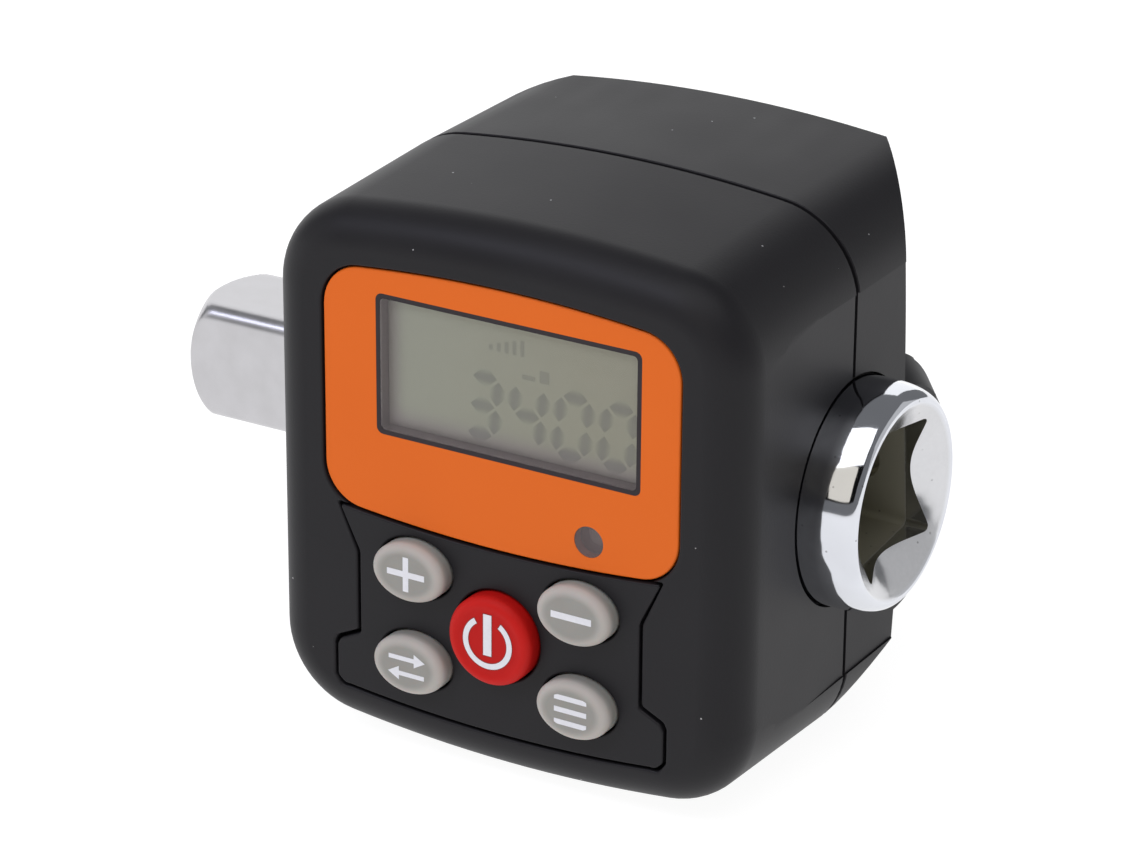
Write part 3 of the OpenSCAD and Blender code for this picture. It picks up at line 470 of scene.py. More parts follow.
# ---------------------------------------------------------------- Rear shell
# The shallower rear half, of the same nylon: bevelled sides with a slight bulge, a flat back, the
# rounded bay for the cells, and four counterbores for the case screws.
rear_depth, bevel_y, back_w, bevel_bulge = 22.0, 10.2, 37.2, 0.6
hump_r, hump_y, hump_z, hump_half, hump_bevel = 15.2, 13.5, -7.05, 25.4, 2.8
hump_place = (CASE_X, hump_y, CASE_Z + hump_z)
bay_x, bay_floor_y, bay_half_z, tub_t = 24.1, 14.65, 10.9, 1.3
case_screw_places = [(-15.0, 24.2), (15.0, 24.2), (-12.5, -24.2), (12.5, -24.2)]
boss_r, screw_seat_y, screw_hole_r, screw_head_hole_r = 3.3, 8.0, 1.3, 2.4
facet_angle, rebate_play, rear_ease = 50, (0.08, 0.15), 0.3
tongue_w, tongue_t, tongue_l, tongue_play = 8.0, 1.1, 1.9, 0.15
tongue_places = [(side, x) for side in (-1, 1) for x in (-10.0, 10.0)]
far = 40  # beyond the case on every side


def rear_plan(d, bulge, overlap):
    """The rear shell seen from above, drawn in by d, with its bevels pushed out by bulge."""
    hw = case_w / 2
    nx, ny = rear_depth - bevel_y, hw - back_w / 2
    span = math.hypot(nx, ny)
    c = (nx * hw + ny * bevel_y) / span - d + bulge
    xs, ys = hw - d, rear_depth - d
    y1, x1 = (c * span - nx * xs) / ny, (c * span - ny * ys) / nx
    return [(xs, gap - overlap), (xs, y1), (x1, ys), (-x1, ys), (-xs, y1), (-xs, gap - overlap)]


def rear_form(name, d, soft):
    """The bevelled prism with planar facets on its lower corners, drawn in by d."""
    ends = [(gap, d + 0.1), (gap + 0.1, d)] if soft else [(gap - 1, d)]
    form = loft(name, [standing(case_outline(case_h, e), y) for y, e in ends + [(rear_depth + 3, d)]])
    plan = loft("plan", [[(x, y, z) for x, y in rear_plan(d, 0.0, 1.5)] for z in (-far, far)])
    worked(form, "INTERSECT", plan)
    p = Vector((case_w / 2, bevel_y, -flank_half))
    cx = case_w / 2 - corner_r
    cz = crown_r - case_h / 2 - math.sqrt((crown_r - corner_r) ** 2 - cx**2)
    lean = math.radians(facet_angle)
    q = Vector((cx + corner_r * math.cos(lean), 0, cz - corner_r * math.sin(lean)))
    normal = Vector((-math.sin(lean), 0, -math.cos(lean))).cross(p - q).normalized()
    for side in (-1, 1):
        n = Vector((side * normal.x, normal.y, normal.z))
        spot = Vector((side * p.x, p.y, p.z)) - n * d
        a = n.orthogonal().normalized()
        b = n.cross(a)
        corners = [spot + a * i * 60 + b * j * 60 for i, j in square]
        facet = loft("facet", [[tuple(c + n * lift) for c in corners] for lift in (0, 60)])
        worked(form, "DIFFERENCE", facet)
    return form


def eased(shape, width, **settings):
    """Softens the edges of a piece."""
    ease = shape.modifiers.new("ease", "BEVEL")
    ease.width, ease.segments = width * MM, 2
    for key, value in settings.items():
        setattr(ease, key, value)
    return baked(shape)


def behind(y0, y1):
    """A slab across the whole case from y0 to y1."""
    return block("slice", (-far, y0, -far), (far, y1, far))


def bay_hole():
    """The cutter for the bay, open at the back."""
    low = (-bay_x, bay_floor_y, hump_z - bay_half_z)
    return block("bay", low, (bay_x, rear_depth + 1, hump_z + bay_half_z))


rear = rear_form("rear_shell_skin", 0.0, True)
swell = []
for z in (flank_half * (i / 12 - 1) for i in range(25)):
    bulge = bevel_bulge * (1 - (z / flank_half) ** 2)
    swell.append([(x, y, z) for x, y in rear_plan(0.0, bulge, -1.0)])
worked(rear, "UNION", loft("swell", swell))
for side in (-1, 1):
    near, clear = sorted((side * (case_w / 2 - flank_step), side * 30))
    low, high = (near, gap - 1, -flank_half), (clear, bevel_y + flank_fade, flank_half)
    worked(rear, "DIFFERENCE", block("flank", low, high))
spun = [(-hump_half, 0), (-hump_half, hump_r - hump_bevel), (hump_bevel - hump_half, hump_r)]
spun = spun + [(-x, r) for x, r in reversed(spun)]
bay_form = turned("bay_form", spun, "X", hump_place, 160)
worked(rear, "UNION", worked(bay_form, "INTERSECT", behind(bevel_y, rear_depth)))

# Inside the shell: the tub for the cells, and a boss round each screw.
low = (-bay_x - tub_t, bay_floor_y - tub_t, hump_z - bay_half_z - tub_t)
inner = block("tub", low, (bay_x + tub_t, rear_depth, hump_z + bay_half_z + tub_t))
worked(inner, "DIFFERENCE", bay_hole())
for x, z in case_screw_places:
    worked(inner, "UNION", rod("boss", x, z, boss_r, gap, rear_depth))
worked(inner, "INTERSECT", placed("rear_copy", rear.data.copy()))
rebate = (lip_out - rebate_play[0], lip_in + rebate_play[1], gap - 0.5, lip_y + 0.1)
worked(rear, "DIFFERENCE", rear_form("rear_hollow", wall, False), bay_hole())
worked(rear, "UNION", inner)
worked(rear, "DIFFERENCE", case_band("rebate", *rebate), *shaft_bores())
for x, z in case_screw_places:
    counterbore = [(-1, screw_hole_r), (screw_seat_y, screw_hole_r)]
    counterbore += [(screw_seat_y, screw_head_hole_r), (rear_depth + 1, screw_head_hole_r)]
    worked(rear, "DIFFERENCE", turned("counterbore", counterbore, "Y", (x + CASE_X, 0, z + CASE_Z), 48))
for side, x in tongue_places:
    inner_z, outer_z = bay_half_z - 0.6, bay_half_z + 0.3 + tongue_t
    near, beyond = sorted((hump_z + side * inner_z, hump_z + side * outer_z))
    low = (x - tongue_w / 2 - tongue_play, rear_depth - tongue_l - tongue_play, near)
    high = (x + tongue_w / 2 + tongue_play, rear_depth + 1, beyond)
    worked(rear, "DIFFERENCE", block("slot", low, high))
eased(rear, rear_ease, limit_method="ANGLE", angle_limit=math.radians(30))
finished(rear, case_plastic, "case", "rear_shell")

# ---------------------------------------------------------------- Lens, window and status light
# The lens is one polycarbonate plate, printed orange round a clear window with a dark border, and
# glued in the pocket on a thin gasket. A milky lamp stands behind its small round window.
lens_front_y, lens_back_y, lens_ease = -23.3, -22.1, 0.22
border_w = 0.5
lamp_front, lamp_end, lamp_r, lamp_flange, leg_half, leg_r = -21.8, -16.5, 1.5, (1.0, 0.4), 1.27, 0.25
lens_cut_y = (lens_front_y - 1, lens_back_y + 1)
board_front = -14.5


def plain_finish(name, dark, light, fleck_mm, relief_mm, rough, surface, detail=2.0):
    """Two near tones in soft flecks, standing proud by relief_mm where that isn't nought.

    The roughness is a number, or a pair that it moves between with the flecks.
    """
    made, tree, at = material(name)
    fleck = node(tree, "ShaderNodeTexNoise", {"Vector": at, "Scale": per_mm(fleck_mm), "Detail": detail})
    tone = node(tree, "ShaderNodeMix", {0: fleck, 6: dark, 7: light}, data_type="RGBA")
    if isinstance(rough, tuple):
        rough = node(tree, "ShaderNodeMapRange", {0: fleck, 3: rough[0], 4: rough[1]})
    if relief_mm:
        relief = {"Height": fleck, "Strength": 1.0, "Distance": relief_mm * MM}
        surface = surface | {"Normal": node(tree, "ShaderNodeBump", relief)}
    return surfaced(made, surface | {"Base Color": tone, "Roughness": rough})


def plate(name, outline, back_y, front_y, ease):
    """A flat plate whose front edge is rounded by `ease`."""
    steps = [(back_y, 0.0), (front_y + ease, 0.0)]
    steps += [(front_y + ease * up, ease * drawn) for up, drawn in quarter(4, 1)]
    return loft(name, [standing(outline(-d), y) for y, d in steps])


def joined(name, shapes):
    """Several pieces as one mesh."""
    whole = bmesh.new()
    for shape in shapes:
        whole.from_mesh(shape.data)
        bpy.data.meshes.remove(shape.data)
    mesh = bpy.data.meshes.new(name)
    whole.to_mesh(mesh)
    whole.free()
    return placed(name, mesh)


# Orange ink under clear plastic: an even, slightly cloudy orange with a soft gloss and the faint
# unevenness of a rolled sheet.
orange_print, tree, at = material("orange_print_under_polycarbonate")
cloud = node(tree, "ShaderNodeTexNoise", {"Vector": at, "Scale": per_mm(18.0)})
waves = node(tree, "ShaderNodeTexNoise", {"Vector": at, "Scale": per_mm(0.35), "Detail": 3.0})
tone = node(tree, "ShaderNodeMix", {0: cloud, 6: "#de661a", 7: "#e36b1f"}, data_type="RGBA")
gloss = node(tree, "ShaderNodeMapRange", {0: cloud, 3: 0.34, 4: 0.42})
relief = node(tree, "ShaderNodeBump", {"Height": waves, "Strength": 0.5, "Distance": 0.006 * MM})
surface = {"Base Color": tone, "Roughness": gloss, "Normal": relief}
surfaced(orange_print, surface | {"IOR": 1.58, "Specular IOR Level": 0.12})

# Dark ink round the window: a brownish black line, duller than the orange.
ink_surface = {"IOR": 1.58, "Specular IOR Level": 0.1}
dark_ink = plain_finish("dark_border_ink", "#312c2f", "#383336", 2.0, 0.003, 0.4, ink_surface)

# Clear plastic: it shows what lies behind, with a gloss that grows towards grazing angles.
clear_plastic, tree, at = material("clear_polycarbonate")
haze = node(tree, "ShaderNodeTexNoise", {"Vector": at, "Scale": per_mm(4.0)})
tone = node(tree, "ShaderNodeMix", {0: haze, 6: "#f4f4f6", 7: "#ffffff"}, data_type="RGBA")
gloss = node(tree, "ShaderNodeMapRange", {0: haze, 3: 0.04, 4: 0.08})
grazing = node(tree, "ShaderNodeFresnel", {"IOR": 1.25})
surfaced(clear_plastic, {"Base Color": tone, "Roughness": gloss, "Metallic": 1.0, "Alpha": grazing})

# Smoky window of the lamp: a brown-grey disc that the pale lamp shows through.
smoke_surface = {"IOR": 1.58, "Alpha": 0.48}
smoked_plastic = plain_finish("smoked_polycarbonate", "#6a5d5e", "#736667", 1.0, 0.002, 0.18, smoke_surface)

# Milky epoxy of the lamp: an off-white that light sinks into a little.
milk_surface = {"IOR": 1.5, "Subsurface Weight": 0.3, "Subsurface Scale": 1.0 * MM}
milky_epoxy = plain_finish("milky_epoxy", "#cfc9c4", "#ddd8d3", 0.8, 0, 0.2, milk_surface)

# Tin plate: a bright grey metal with a soft, uneven sheen.
metal_surface = {"Metallic": 1.0}
sheen = (0.6, 0.005, (0.23, 0.33), metal_surface, 3.0)
tin_plate = plain_finish("bright_tin_plate", "#b9b9bb", "#cfcfd1", *sheen)

lens = plate("lens_plate", lens_outline, lens_back_y, lens_front_y, lens_ease)
window_hole = window_form("window_hole", *lens_cut_y, 0.0, 0.75)
worked(lens, "DIFFERENCE", window_hole, rod("lamp_hole", led_x, led_z, led_hole_r, *lens_cut_y))
finished(lens, orange_print, "case", "display_lens")
border = window_form("window_border", lens_front_y + 0.01, lens_front_y + 0.16, -0.01, 0.74)
worked(border, "DIFFERENCE", window_form("inside", *lens_cut_y, -border_w, 0.5))
finished(border, dark_ink, "case", "display_lens")
pane = window_form("window_pane", lens_front_y + 0.03, lens_front_y + 0.13, -border_w - 0.01, 0.5)
finished(pane, clear_plastic, "case", "display_lens")
lamp_pane = rod("lamp_window", led_x, led_z, led_hole_r - 0.02, lens_front_y + 0.04, lens_back_y)
finished(lamp_pane, smoked_plastic, "case", "display_lens")
lamp_form = [(lamp_front + lamp_r * drawn, lamp_r * (1 - up)) for up, drawn in quarter(12)]
flange_y, flange_r = lamp_end - lamp_flange[0], lamp_r + lamp_flange[1]
lamp_form += [(flange_y, lamp_r), (flange_y, flange_r), (lamp_end, flange_r)]
lamp = turned("status_lamp", lamp_form, "Y", (CASE_X + led_x, 0, CASE_Z + led_z), 48)
finished(lamp, milky_epoxy, "case", "status_led")
legs = [rod("leg", led_x + s * leg_half, led_z, leg_r, lamp_end, board_front, 12) for s in (-1, 1)]
finished(joined("status_lamp_legs", legs), tin_plate, "case", "status_led")

# ---------------------------------------------------------------- Display
# A reflective liquid-crystal cell in a plastic frame on the board, with a light guide behind it
# and striped rubber connectors above and below. It shows a plain number, faint when seen aslant.
cell_front, cell_back, cell_w, cell_h, cell_ease = -20.2, -18.2, 32.7, 17.4, 0.12
sheet_y = -21.95
digit_w, digit_h, digit_pitch, stroke_w, stroke_cut, slant = 3.15, 6.1, 5.15, 1.0, 0.22, 0.1
digit_x, digit_z, small_z, sign_z = -37.63, 7.35, 16.5, 14.2
# Seven strokes a digit, pointed at both ends: three across and four upright.
strokes = {
    "top": ((0, 2), (1, 2)),
    "middle": ((0, 1), (1, 1)),
    "bottom": ((0, 0), (1, 0)),
    "left_up": ((0, 1), (0, 2)),
    "right_up": ((1, 1), (1, 2)),
    "left_low": ((0, 0), (0, 1)),
    "right_low": ((1, 0), (1, 1)),
}
digits = {
    "3": ("top", "right_up", "middle", "right_low", "bottom"),
    "4": ("left_up", "middle", "right_up", "right_low"),
    "0": ("top", "left_up", "right_up", "left_low", "right_low", "bottom"),
}
# Seen aslant through the cell each mark is soft: it is drawn from wide and pale to narrow and dark.
mark_layers = ((1.75, 0.07), (1.55, 0.13), (1.35, 0.19), (1.1, 0.26), (0.85, 0.32), (0.55, 0.37))
cell_surface = {"Roughness": 0.4, "IOR": 1.5, "Specular IOR Level": 0.25}


def cell_tint_and_painted_shade(tree, at):
    """The cell's grey-green, painted lighter to the left and shaded at its left and lower edges."""
    spot = node(tree, "ShaderNodeSeparateXYZ", {0: at})
    across, upward = spot.outputs[0], spot.outputs[2]
    # Painted light: a touch lighter to the left.
    bright = node(tree, "ShaderNodeMapRange", {0: across, 1: -46.0 * MM, 2: -24.0 * MM})
    tint = node(tree, "ShaderNodeMix", {0: bright, 6: "#a6a899", 7: "#a4a290"}, data_type="RGBA")
    # Painted shade and reflection of the recess walls: warmer and darker at the left and lower edges.
    for along, low, high, most, tone in (
        (across, -46.7, -44.2, 0.75, "#827779"),
        (upward, 6.0, 8.8, 0.8, "#92878a"),
    ):
        near = {0: along, 1: low * MM, 2: high * MM, 3: most, 4: 0.0}
        near = node(tree, "ShaderNodeMapRange", near, interpolation_type="SMOOTHSTEP")
        tint = node(tree, "ShaderNodeMix", {0: near, 6: tint, 7: tone}, data_type="RGBA")
    cloud = node(tree, "ShaderNodeTexNoise", {"Vector": at, "Scale": per_mm(9.0)})
    faint = node(tree, "ShaderNodeMath", {0: cloud, 1: 0.10}, operation="MULTIPLY")
    return node(tree, "ShaderNodeMix", {0: faint, 6: tint, 7: "#c3c8ba"}, data_type="RGBA")


def mark_tone(name, depth):
    """The cell's colour with its painted light and shade, darkened by a mark's share."""
    made, tree, at = material(name)
    fleck = node(tree, "ShaderNodeTexNoise", {"Vector": at, "Scale": per_mm(1.2)})
    share = node(tree, "ShaderNodeMapRange", {0: fleck, 3: depth * 0.85, 4: depth * 1.15})
    tone = node(tree, "ShaderNodeMix", {0: share, 6: cell_tint_and_painted_shade(tree, at), 7: "#4a5058"}, data_type="RGBA")
    return surfaced(made, cell_surface | {"Base Color": tone})


def prisms(name, outlines, y0, y1, place):
    """Flat marks: each closed outline (x, z) made solid from y0 to y1."""
    points, faces = [], []
    for outline in outlines:
        n, start = len(outline), len(points)
        points += standing(outline, y0) + standing(outline, y1)
        for j in range(n):
            k = (j + 1) % n
            faces.append((start + j, start + k, start + n + k, start + n + j))
        faces += [tuple(range(start, start + n)), tuple(range(start + n, start + 2 * n))[::-1]]
    return piece(name, points, faces, place)


def stroke(start, end, w):
    """One pointed stroke between two places."""
    a, b = Vector(start), Vector(end)
    along = (b - a).normalized()
    across = Vector((-along.y, along.x)) * w / 2
    a, b = a + along * stroke_cut, b - along * stroke_cut
    tip = along * w / 2
    six = [a, a + tip + across, b - tip + across, b, b - tip - across, a + tip - across]
    return [(p.x + slant * (p.y - digit_z), p.y) for p in six]


def reading(w):
    """The strokes of the number on the display, w wide."""
    marks = []
    for place, figure in enumerate("3400"):
        left = digit_x + place * digit_pitch
        for name in digits[figure]:
            start, end = ((left + i * digit_w, digit_z + j * digit_h / 2) for i, j in strokes[name])
            marks.append(stroke(start, end, w))
    return marks


# The cell under its polariser: a grey-green with a soft gloss, painted lighter to the left and
# shaded at its left and lower edges.
polariser, tree, at = material("liquid_crystal_under_polariser")
surfaced(polariser, cell_surface | {"Base Color": cell_tint_and_painted_shade(tree, at)})
# Foam round the display: a matt mid grey, barely mottled.
foam_surface = {"Specular IOR Level": 0.3}
grey_liner = plain_finish("grey_foam_liner", "#8f8385", "#998d8f", 1.5, 0.01, 0.55, foam_surface)

low = (window_x - cell_w / 2, cell_front, window_z - cell_h / 2)
glass = block("lcd_cell", low, (window_x + cell_w / 2, cell_back, window_z + cell_h / 2))
finished(eased(glass, cell_ease), polariser, "case", "lcd_glass")
sheet = window_form("polariser_sheet", sheet_y, cell_front, -border_w - 0.12, 0.2)
finished(sheet, polariser, "case", "lcd_glass")
liner = window_form("window_liner", lens_back_y, inner_y, -border_w - 0.01, 0.5)
worked(liner, "UNION", window_form("upper", lens_front_y + 0.17, lens_back_y, -0.02, 0.7))
worked(liner, "DIFFERENCE", window_form("inside", face_y, inner_y + 1, -border_w - 0.06, 0.45))
finished(liner, grey_liner, "case")

small_marks = [
    [(x, small_z), (x + 0.45, small_z), (x + 0.45, small_z + h), (x, small_z + h)]
    for x, h in ((-35.0, 0.6), (-34.1, 0.9), (-33.2, 1.2), (-32.3, 1.5), (-31.4, 1.7))
]
small_marks += [
    [(x0, sign_z), (x1, sign_z), (x1, sign_z + h), (x0, sign_z + h)]
    for x0, x1, h in ((-31.2, -29.7, 0.5), (-29.2, -28.1, 1.3))
]
for i, (share, depth) in enumerate(mark_layers):
    lift = sheet_y - 0.002 - 0.003 * i
    marks = reading(stroke_w * share) + (small_marks if i in (1, 3) else [])
    seen = prisms("display_reading_%d" % i, marks, lift - 0.003, lift, on_shaft)
    tone = mark_tone("liquid_crystal_mark_%d" % i, depth)
    finished(seen, tone, "case", "lcd_glass", weighted=False)

# ---------------------------------------------------------------- Key panel
# A waisted plate of the same nylon, moulded smoother than the case, glued in its pocket. It keeps
# the five keys; the pocket's rounded edge leaves a fine dark line round it.
key_places = {
    "plus": (-9.62, -8.5, 8.4, 6.3),
    "minus": (9.62, -8.5, 8.4, 6.3),
    "power": (0.0, -13.63, 9.6, 9.6),
    "units": (-9.62, -18.76, 8.4, 6.3),
    "menu": (9.62, -18.76, 8.4, 6.3),
}
panel_ease = 0.2
# The mouth round a key: depth in from the face, and how far it stands off the key.
mouth = ((-0.5, 0.9), (0.0, 0.4), (0.04, 0.29), (0.12, 0.21), (0.25, 0.2), (3.0, 0.2))


def oval(x, z, w, h, n=72):
    """An ellipse about a place."""
    turns = (2 * math.pi * i / n for i in range(n))
    return [(x + w / 2 * math.cos(a), z + h / 2 * math.sin(a)) for a in turns]


panel = plate("key_panel", panel_outline, panel_back_y, face_y, panel_ease)
for x, z, w, h in key_places.values():
    hole = [standing(oval(x, z, w + 2 * g, h + 2 * g), face_y + inward) for inward, g in mouth]
    worked(panel, "DIFFERENCE", loft("hole", hole))
# Nylon from a smoother mould: as dark as the case, with a wider grit and a little more gloss.
panel_plastic = moulded_plastic("smooth_moulded_nylon", "#1b1a1d", "#201f22", 0.45, 0.42)
finished(panel, panel_plastic, "case", "keypad_panel")

# ---------------------------------------------------------------- Keys
# Moulded silicone rubber: four grey keys and a red one, each on its own web, with a rounded
# shoulder, a slightly dished top and a printed mark. They press straight in by 1 mm.
key_top_y, dish_y, key_round, foot_y, web_y, key_side_y = -25.4, -25.31, 0.9, -16.15, -17.05, -24.0
power_ring, power_bar, edge_w = (2.85, 2.25, 33), (0, 0.85, 0.95, 4.5), 0.08
key_surface = {"IOR": 1.42, "Subsurface Weight": 0.12, "Subsurface Scale": 0.6 * MM}


def silicone(name, base, edge, place):
    """Silicone rubber: satin, faintly gritty, and paler on its rounded shoulder."""
    x, z, w, h = place
    made, tree, at = material(name)
    centre = (-(x + CASE_X) * 2 / w, 0, -(z + CASE_Z) * 2 / h)
    centred = {"Vector": at, "Location": centre, "Scale": (per_mm(w / 2), 0, per_mm(h / 2))}
    centred = node(tree, "ShaderNodeMapping", centred)
    out_by = node(tree, "ShaderNodeVectorMath", {0: centred}, operation="LENGTH").outputs["Value"]
    depth = node(tree, "ShaderNodeSeparateXYZ", {0: at}).outputs[1]
    near_rim = {0: out_by, 1: 0.62, 2: 0.92}
    near_rim = node(tree, "ShaderNodeMapRange", near_rim, interpolation_type="SMOOTHSTEP")
    on_top = {0: depth, 1: -24.9 * MM, 2: -23.9 * MM, 3: 0.85, 4: 0.0}
    on_top = node(tree, "ShaderNodeMapRange", on_top, interpolation_type="SMOOTHSTEP")
    rim = node(tree, "ShaderNodeMath", {0: near_rim, 1: on_top}, operation="MULTIPLY")
    fleck = node(tree, "ShaderNodeTexNoise", {"Vector": at, "Scale": per_mm(2.5)})
    grit = node(tree, "ShaderNodeTexNoise", {"Vector": at, "Scale": per_mm(0.3), "Detail": 3.0})
    tint = node(tree, "ShaderNodeMix", {0: rim, 6: base, 7: edge}, data_type="RGBA")
    faint = node(tree, "ShaderNodeMath", {0: fleck, 1: 0.08}, operation="MULTIPLY")
    tint = node(tree, "ShaderNodeMix", {0: faint, 6: tint, 7: "#000000"}, data_type="RGBA")
    gloss = node(tree, "ShaderNodeMapRange", {0: fleck, 3: 0.5, 4: 0.6})
    relief = node(tree, "ShaderNodeBump", {"Height": grit, "Strength": 0.6, "Distance": 0.012 * MM})
    surface = {"Base Color": tint, "Roughness": gloss, "Normal": relief}
    return surfaced(made, key_surface | surface | {"Specular IOR Level": 0.2})


def rectangle(x, z, w, h, g=0.0):
    """A rectangle about a place, grown by g."""
    a, b = w / 2 + g, h / 2 + g
    return [(x - a, z - b), (x + a, z - b), (x + a, z + b), (x - a, z + b)]


def cross_mark(w, h, t):
    """A plus sign with arms t thick."""
    a, b, c = w / 2, h / 2, t / 2
    corner = [(c, c), (c, b), (-c, b), (-c, c), (-a, c), (-a, -c)]
    return corner + [(-x, -z) for x, z in corner]


def ring_mark(r_out, r_in, open_half, g=0.0):
    """A ring open at its top, grown by g."""
    trim = math.degrees(g / r_out)
    a0, a1 = 90 + open_half - trim, 450 - open_half + trim
    return arc(0, 0, r_out + g, a0, a1, 48) + arc(0, 0, r_in - g, a1, a0, 48)


def arrow_mark(way, z):
    """An arrow pointing left (-1) or right (1)."""
    upper = [(-2.1, 0.24), (0.9, 0.24), (0.9, 0.75), (2.2, 0.0)]
    return [(way * x, z + dz) for x, dz in upper + [(x, -dz) for x, dz in upper[2::-1]]]


key_marks = {
    "plus": [cross_mark(4.4, 3.95, 0.65)],
    "minus": [rectangle(0, 0, 4.6, 0.7)],
    "power": [ring_mark(*power_ring), rectangle(*power_bar)],
    "units": [arrow_mark(1, 0.85), arrow_mark(-1, -0.85)],
    "menu": [rectangle(0, d, 3.7, 0.55) for d in (-1.35, 0.0, 1.35)],
}
# White screen print: cool, flat and slightly raised.
print_surface = {"Specular IOR Level": 0.3}
white_ink = plain_finish("white_screen_print", "#dcdce2", "#e8e8ee", 0.4, 0.004, 0.45, print_surface)
# A dark red line round the power sign.
dark_red_outline = plain_finish("ink_edge_on_red", "#7d1513", "#8a1a17", 0.5, 0, 0.5, {})
for name, place in key_places.items():
    x, z, w, h = place
    body = name + "_button"
    is_power = name == "power"
    waist = -w * 0.1
    rings = [(foot_y, 0.5), (web_y, 0.5), (web_y - 0.01, waist), (panel_back_y, waist)]
    rings += [(panel_back_y - 0.02, 0.0), (key_side_y, 0.0)]
    rings += [(key_top_y + key_round * up, -key_round * drawn) for up, drawn in quarter(9)]
    rings += [(key_top_y + dy, -key_round - d) for dy, d in ((0.02, 0.15), (0.06, 0.4))]
    rings.append((dish_y, -key_round - 0.7))
    cap = [standing(oval(x, z, w + 2 * g, h + 2 * g), y) for y, g in rings]
    base, edge = ("#bd1310", "#c91c18") if is_power else ("#9a9893", "#c0bab5")
    skin = silicone("red_silicone_rubber" if is_power else "grey_silicone_rubber", base, edge, place)
    finished(loft(name + "_key_cap", cap), skin, body, name + "_key", sharp=40)
    mark_place = (x + CASE_X, 0, z + CASE_Z)
    if is_power:
        wider = [ring_mark(*power_ring, edge_w), rectangle(*power_bar, edge_w)]
        under = prisms("power_mark_edge", wider, dish_y - 0.015, dish_y + 0.02, mark_place)
        finished(under, dark_red_outline, body, weighted=False)
    mark = prisms(name + "_mark", key_marks[name], dish_y - 0.035, dish_y + 0.03, mark_place)
    finished(mark, white_ink, body, weighted=False)

# ---------------------------------------------------------------- Seals and shaft
# One forging of chrome-vanadium steel, polished and chromed: the collar with the female square in
# a bowl, the torsion section, and the male square with its spring-pressed ball. Two nitrile rings
# in grooves close the gaps to the case; only a dark line of each shows.
rim_r, ridge_r, rim_len, collar_end = 11.8, 10.35, 4.0, -18.5
collar_groove_x, collar_groove_r = (-7.95, -6.35), 10.7
bowl_start_x, bowl_end_x, bowl_low_r, bowl_steps, bowl_sag = -0.1, -3.02, 6.2, 14, 0.35
square_half, socket_half, socket_depth, socket_turn, socket_r = 6.35, 6.45, 16.0, 6.0, 0.75
dent_x, dent_r = -8.5, 2.3
torsion_r, torsion_end, fillet, flat_x, flat_half, flat_depth = 8.0, -52.1, 1.5, -35.3, 8.5, 7.2
shoulder_r, shoulder_x, groove_x, groove_half, groove_depth = 11.0, -63.3, -59.05, 0.8, 1.2
male_end_x, dome_len, male_len, end_flat_r, across_r, edge_soft = -83.0, 4.6, 15.2, 3.3, 8.72, 1.5
ball_x, ball_r, ball_play, ball_proud, ball_travel = -74.4, 2.38, 0.05, 1.2, 1.1
# The coil narrows towards the ball.
coil_foot, coil_rise, coil_wire = -2.9, 5.28, 0.28


def redress(finish, *names):
    """Gives CAD nodes that stay a better finish."""
    for name in names:
        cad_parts[name].data.materials.clear()
        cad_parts[name].data.materials.append(finish)


def square_reach(angle):
    """Distance from the axis to the rounded square's side at an angle."""
    a = math.radians(abs((math.degrees(angle) + 45) % 90 - 45))
    reach = square_half / math.cos(a)
    c = square_half - edge_soft
    if reach * math.sin(a) <= c:
        return reach
    along = c * (math.cos(a) + math.sin(a))
    return along + math.sqrt(along**2 - 2 * c * c + edge_soft**2)


def softer(a, b, k):
    """The smaller of two lengths, rounded where they cross."""
    h = max(0.0, min(1.0, 0.5 + (b - a) / (2 * k)))
    return b + (a - b) * h - k * h * (1 - h)


def started_tree(name, sockets):
    """A new Geometry Nodes tree and what its named inputs carry: sockets gives kind and value."""
    tree = bpy.data.node_groups.new(name, "GeometryNodeTree")
    for label, (kind, start) in (sockets | {"Finish": ("Material", None)}).items():
        made = tree.interface.new_socket(name=label, in_out="INPUT", socket_type="NodeSocket" + kind)
        if start is not None:
            made.default_value = start
    tree.interface.new_socket(name="Geometry", in_out="OUTPUT", socket_type="NodeSocketGeometry")
    return tree, node(tree, "NodeGroupInput").outputs


def ended_tree(tree, given, grown_shape):
    """Ends a Geometry Nodes tree: its instances made real, in the finish it was given."""
    whole = node(tree, "GeometryNodeRealizeInstances", {0: grown_shape})
    coated = {"Geometry": whole, "Material": given["Finish"]}
    node(tree, "NodeGroupOutput", {0: node(tree, "GeometryNodeSetMaterial", coated)})


def grown(name, tree, values):
    """The plain mesh that a Geometry Nodes tree makes with these values for its named inputs."""
    maker = placed(name, bpy.data.meshes.new(name))
    grow = maker.modifiers.new("grow", "NODES")
    grow.node_group = tree
    for item in tree.interface.items_tree:
        if item.in_out == "INPUT" and item.name in values:
            grow[item.identifier] = values[item.name]
    return baked(maker)


def coil(name, turns, start_r, end_r, height, wire_r, place, axis):
    """A coil spring from `place` along an axis ("X", "-X" or "Y")."""
    sizes = {"Start radius": start_r, "End radius": end_r, "Height": height, "Wire radius": wire_r}
    sizes = {label: size * MM for label, size in sizes.items()}
    made = grown(name, coil_tree, sizes | {"Turns": turns, "Finish": spring_wire})
    angle, about = {"X": (90, "Y"), "-X": (-90, "Y"), "Y": (-90, "X")}[axis]
    turn_to = Matrix.Rotation(math.radians(angle), 4, about)
    made.data.transform(Matrix.Translation(Vector(place) * MM) @ turn_to)
    return made


# Nitrile rubber: near black and matt, finely mottled.
rubber = ("#121213", "#1d1c1e", 0.4, 0.01, 0.6, {"IOR": 1.52})
redress(plain_finish("nitrile_rubber", *rubber), "seal_female", "seal_male")
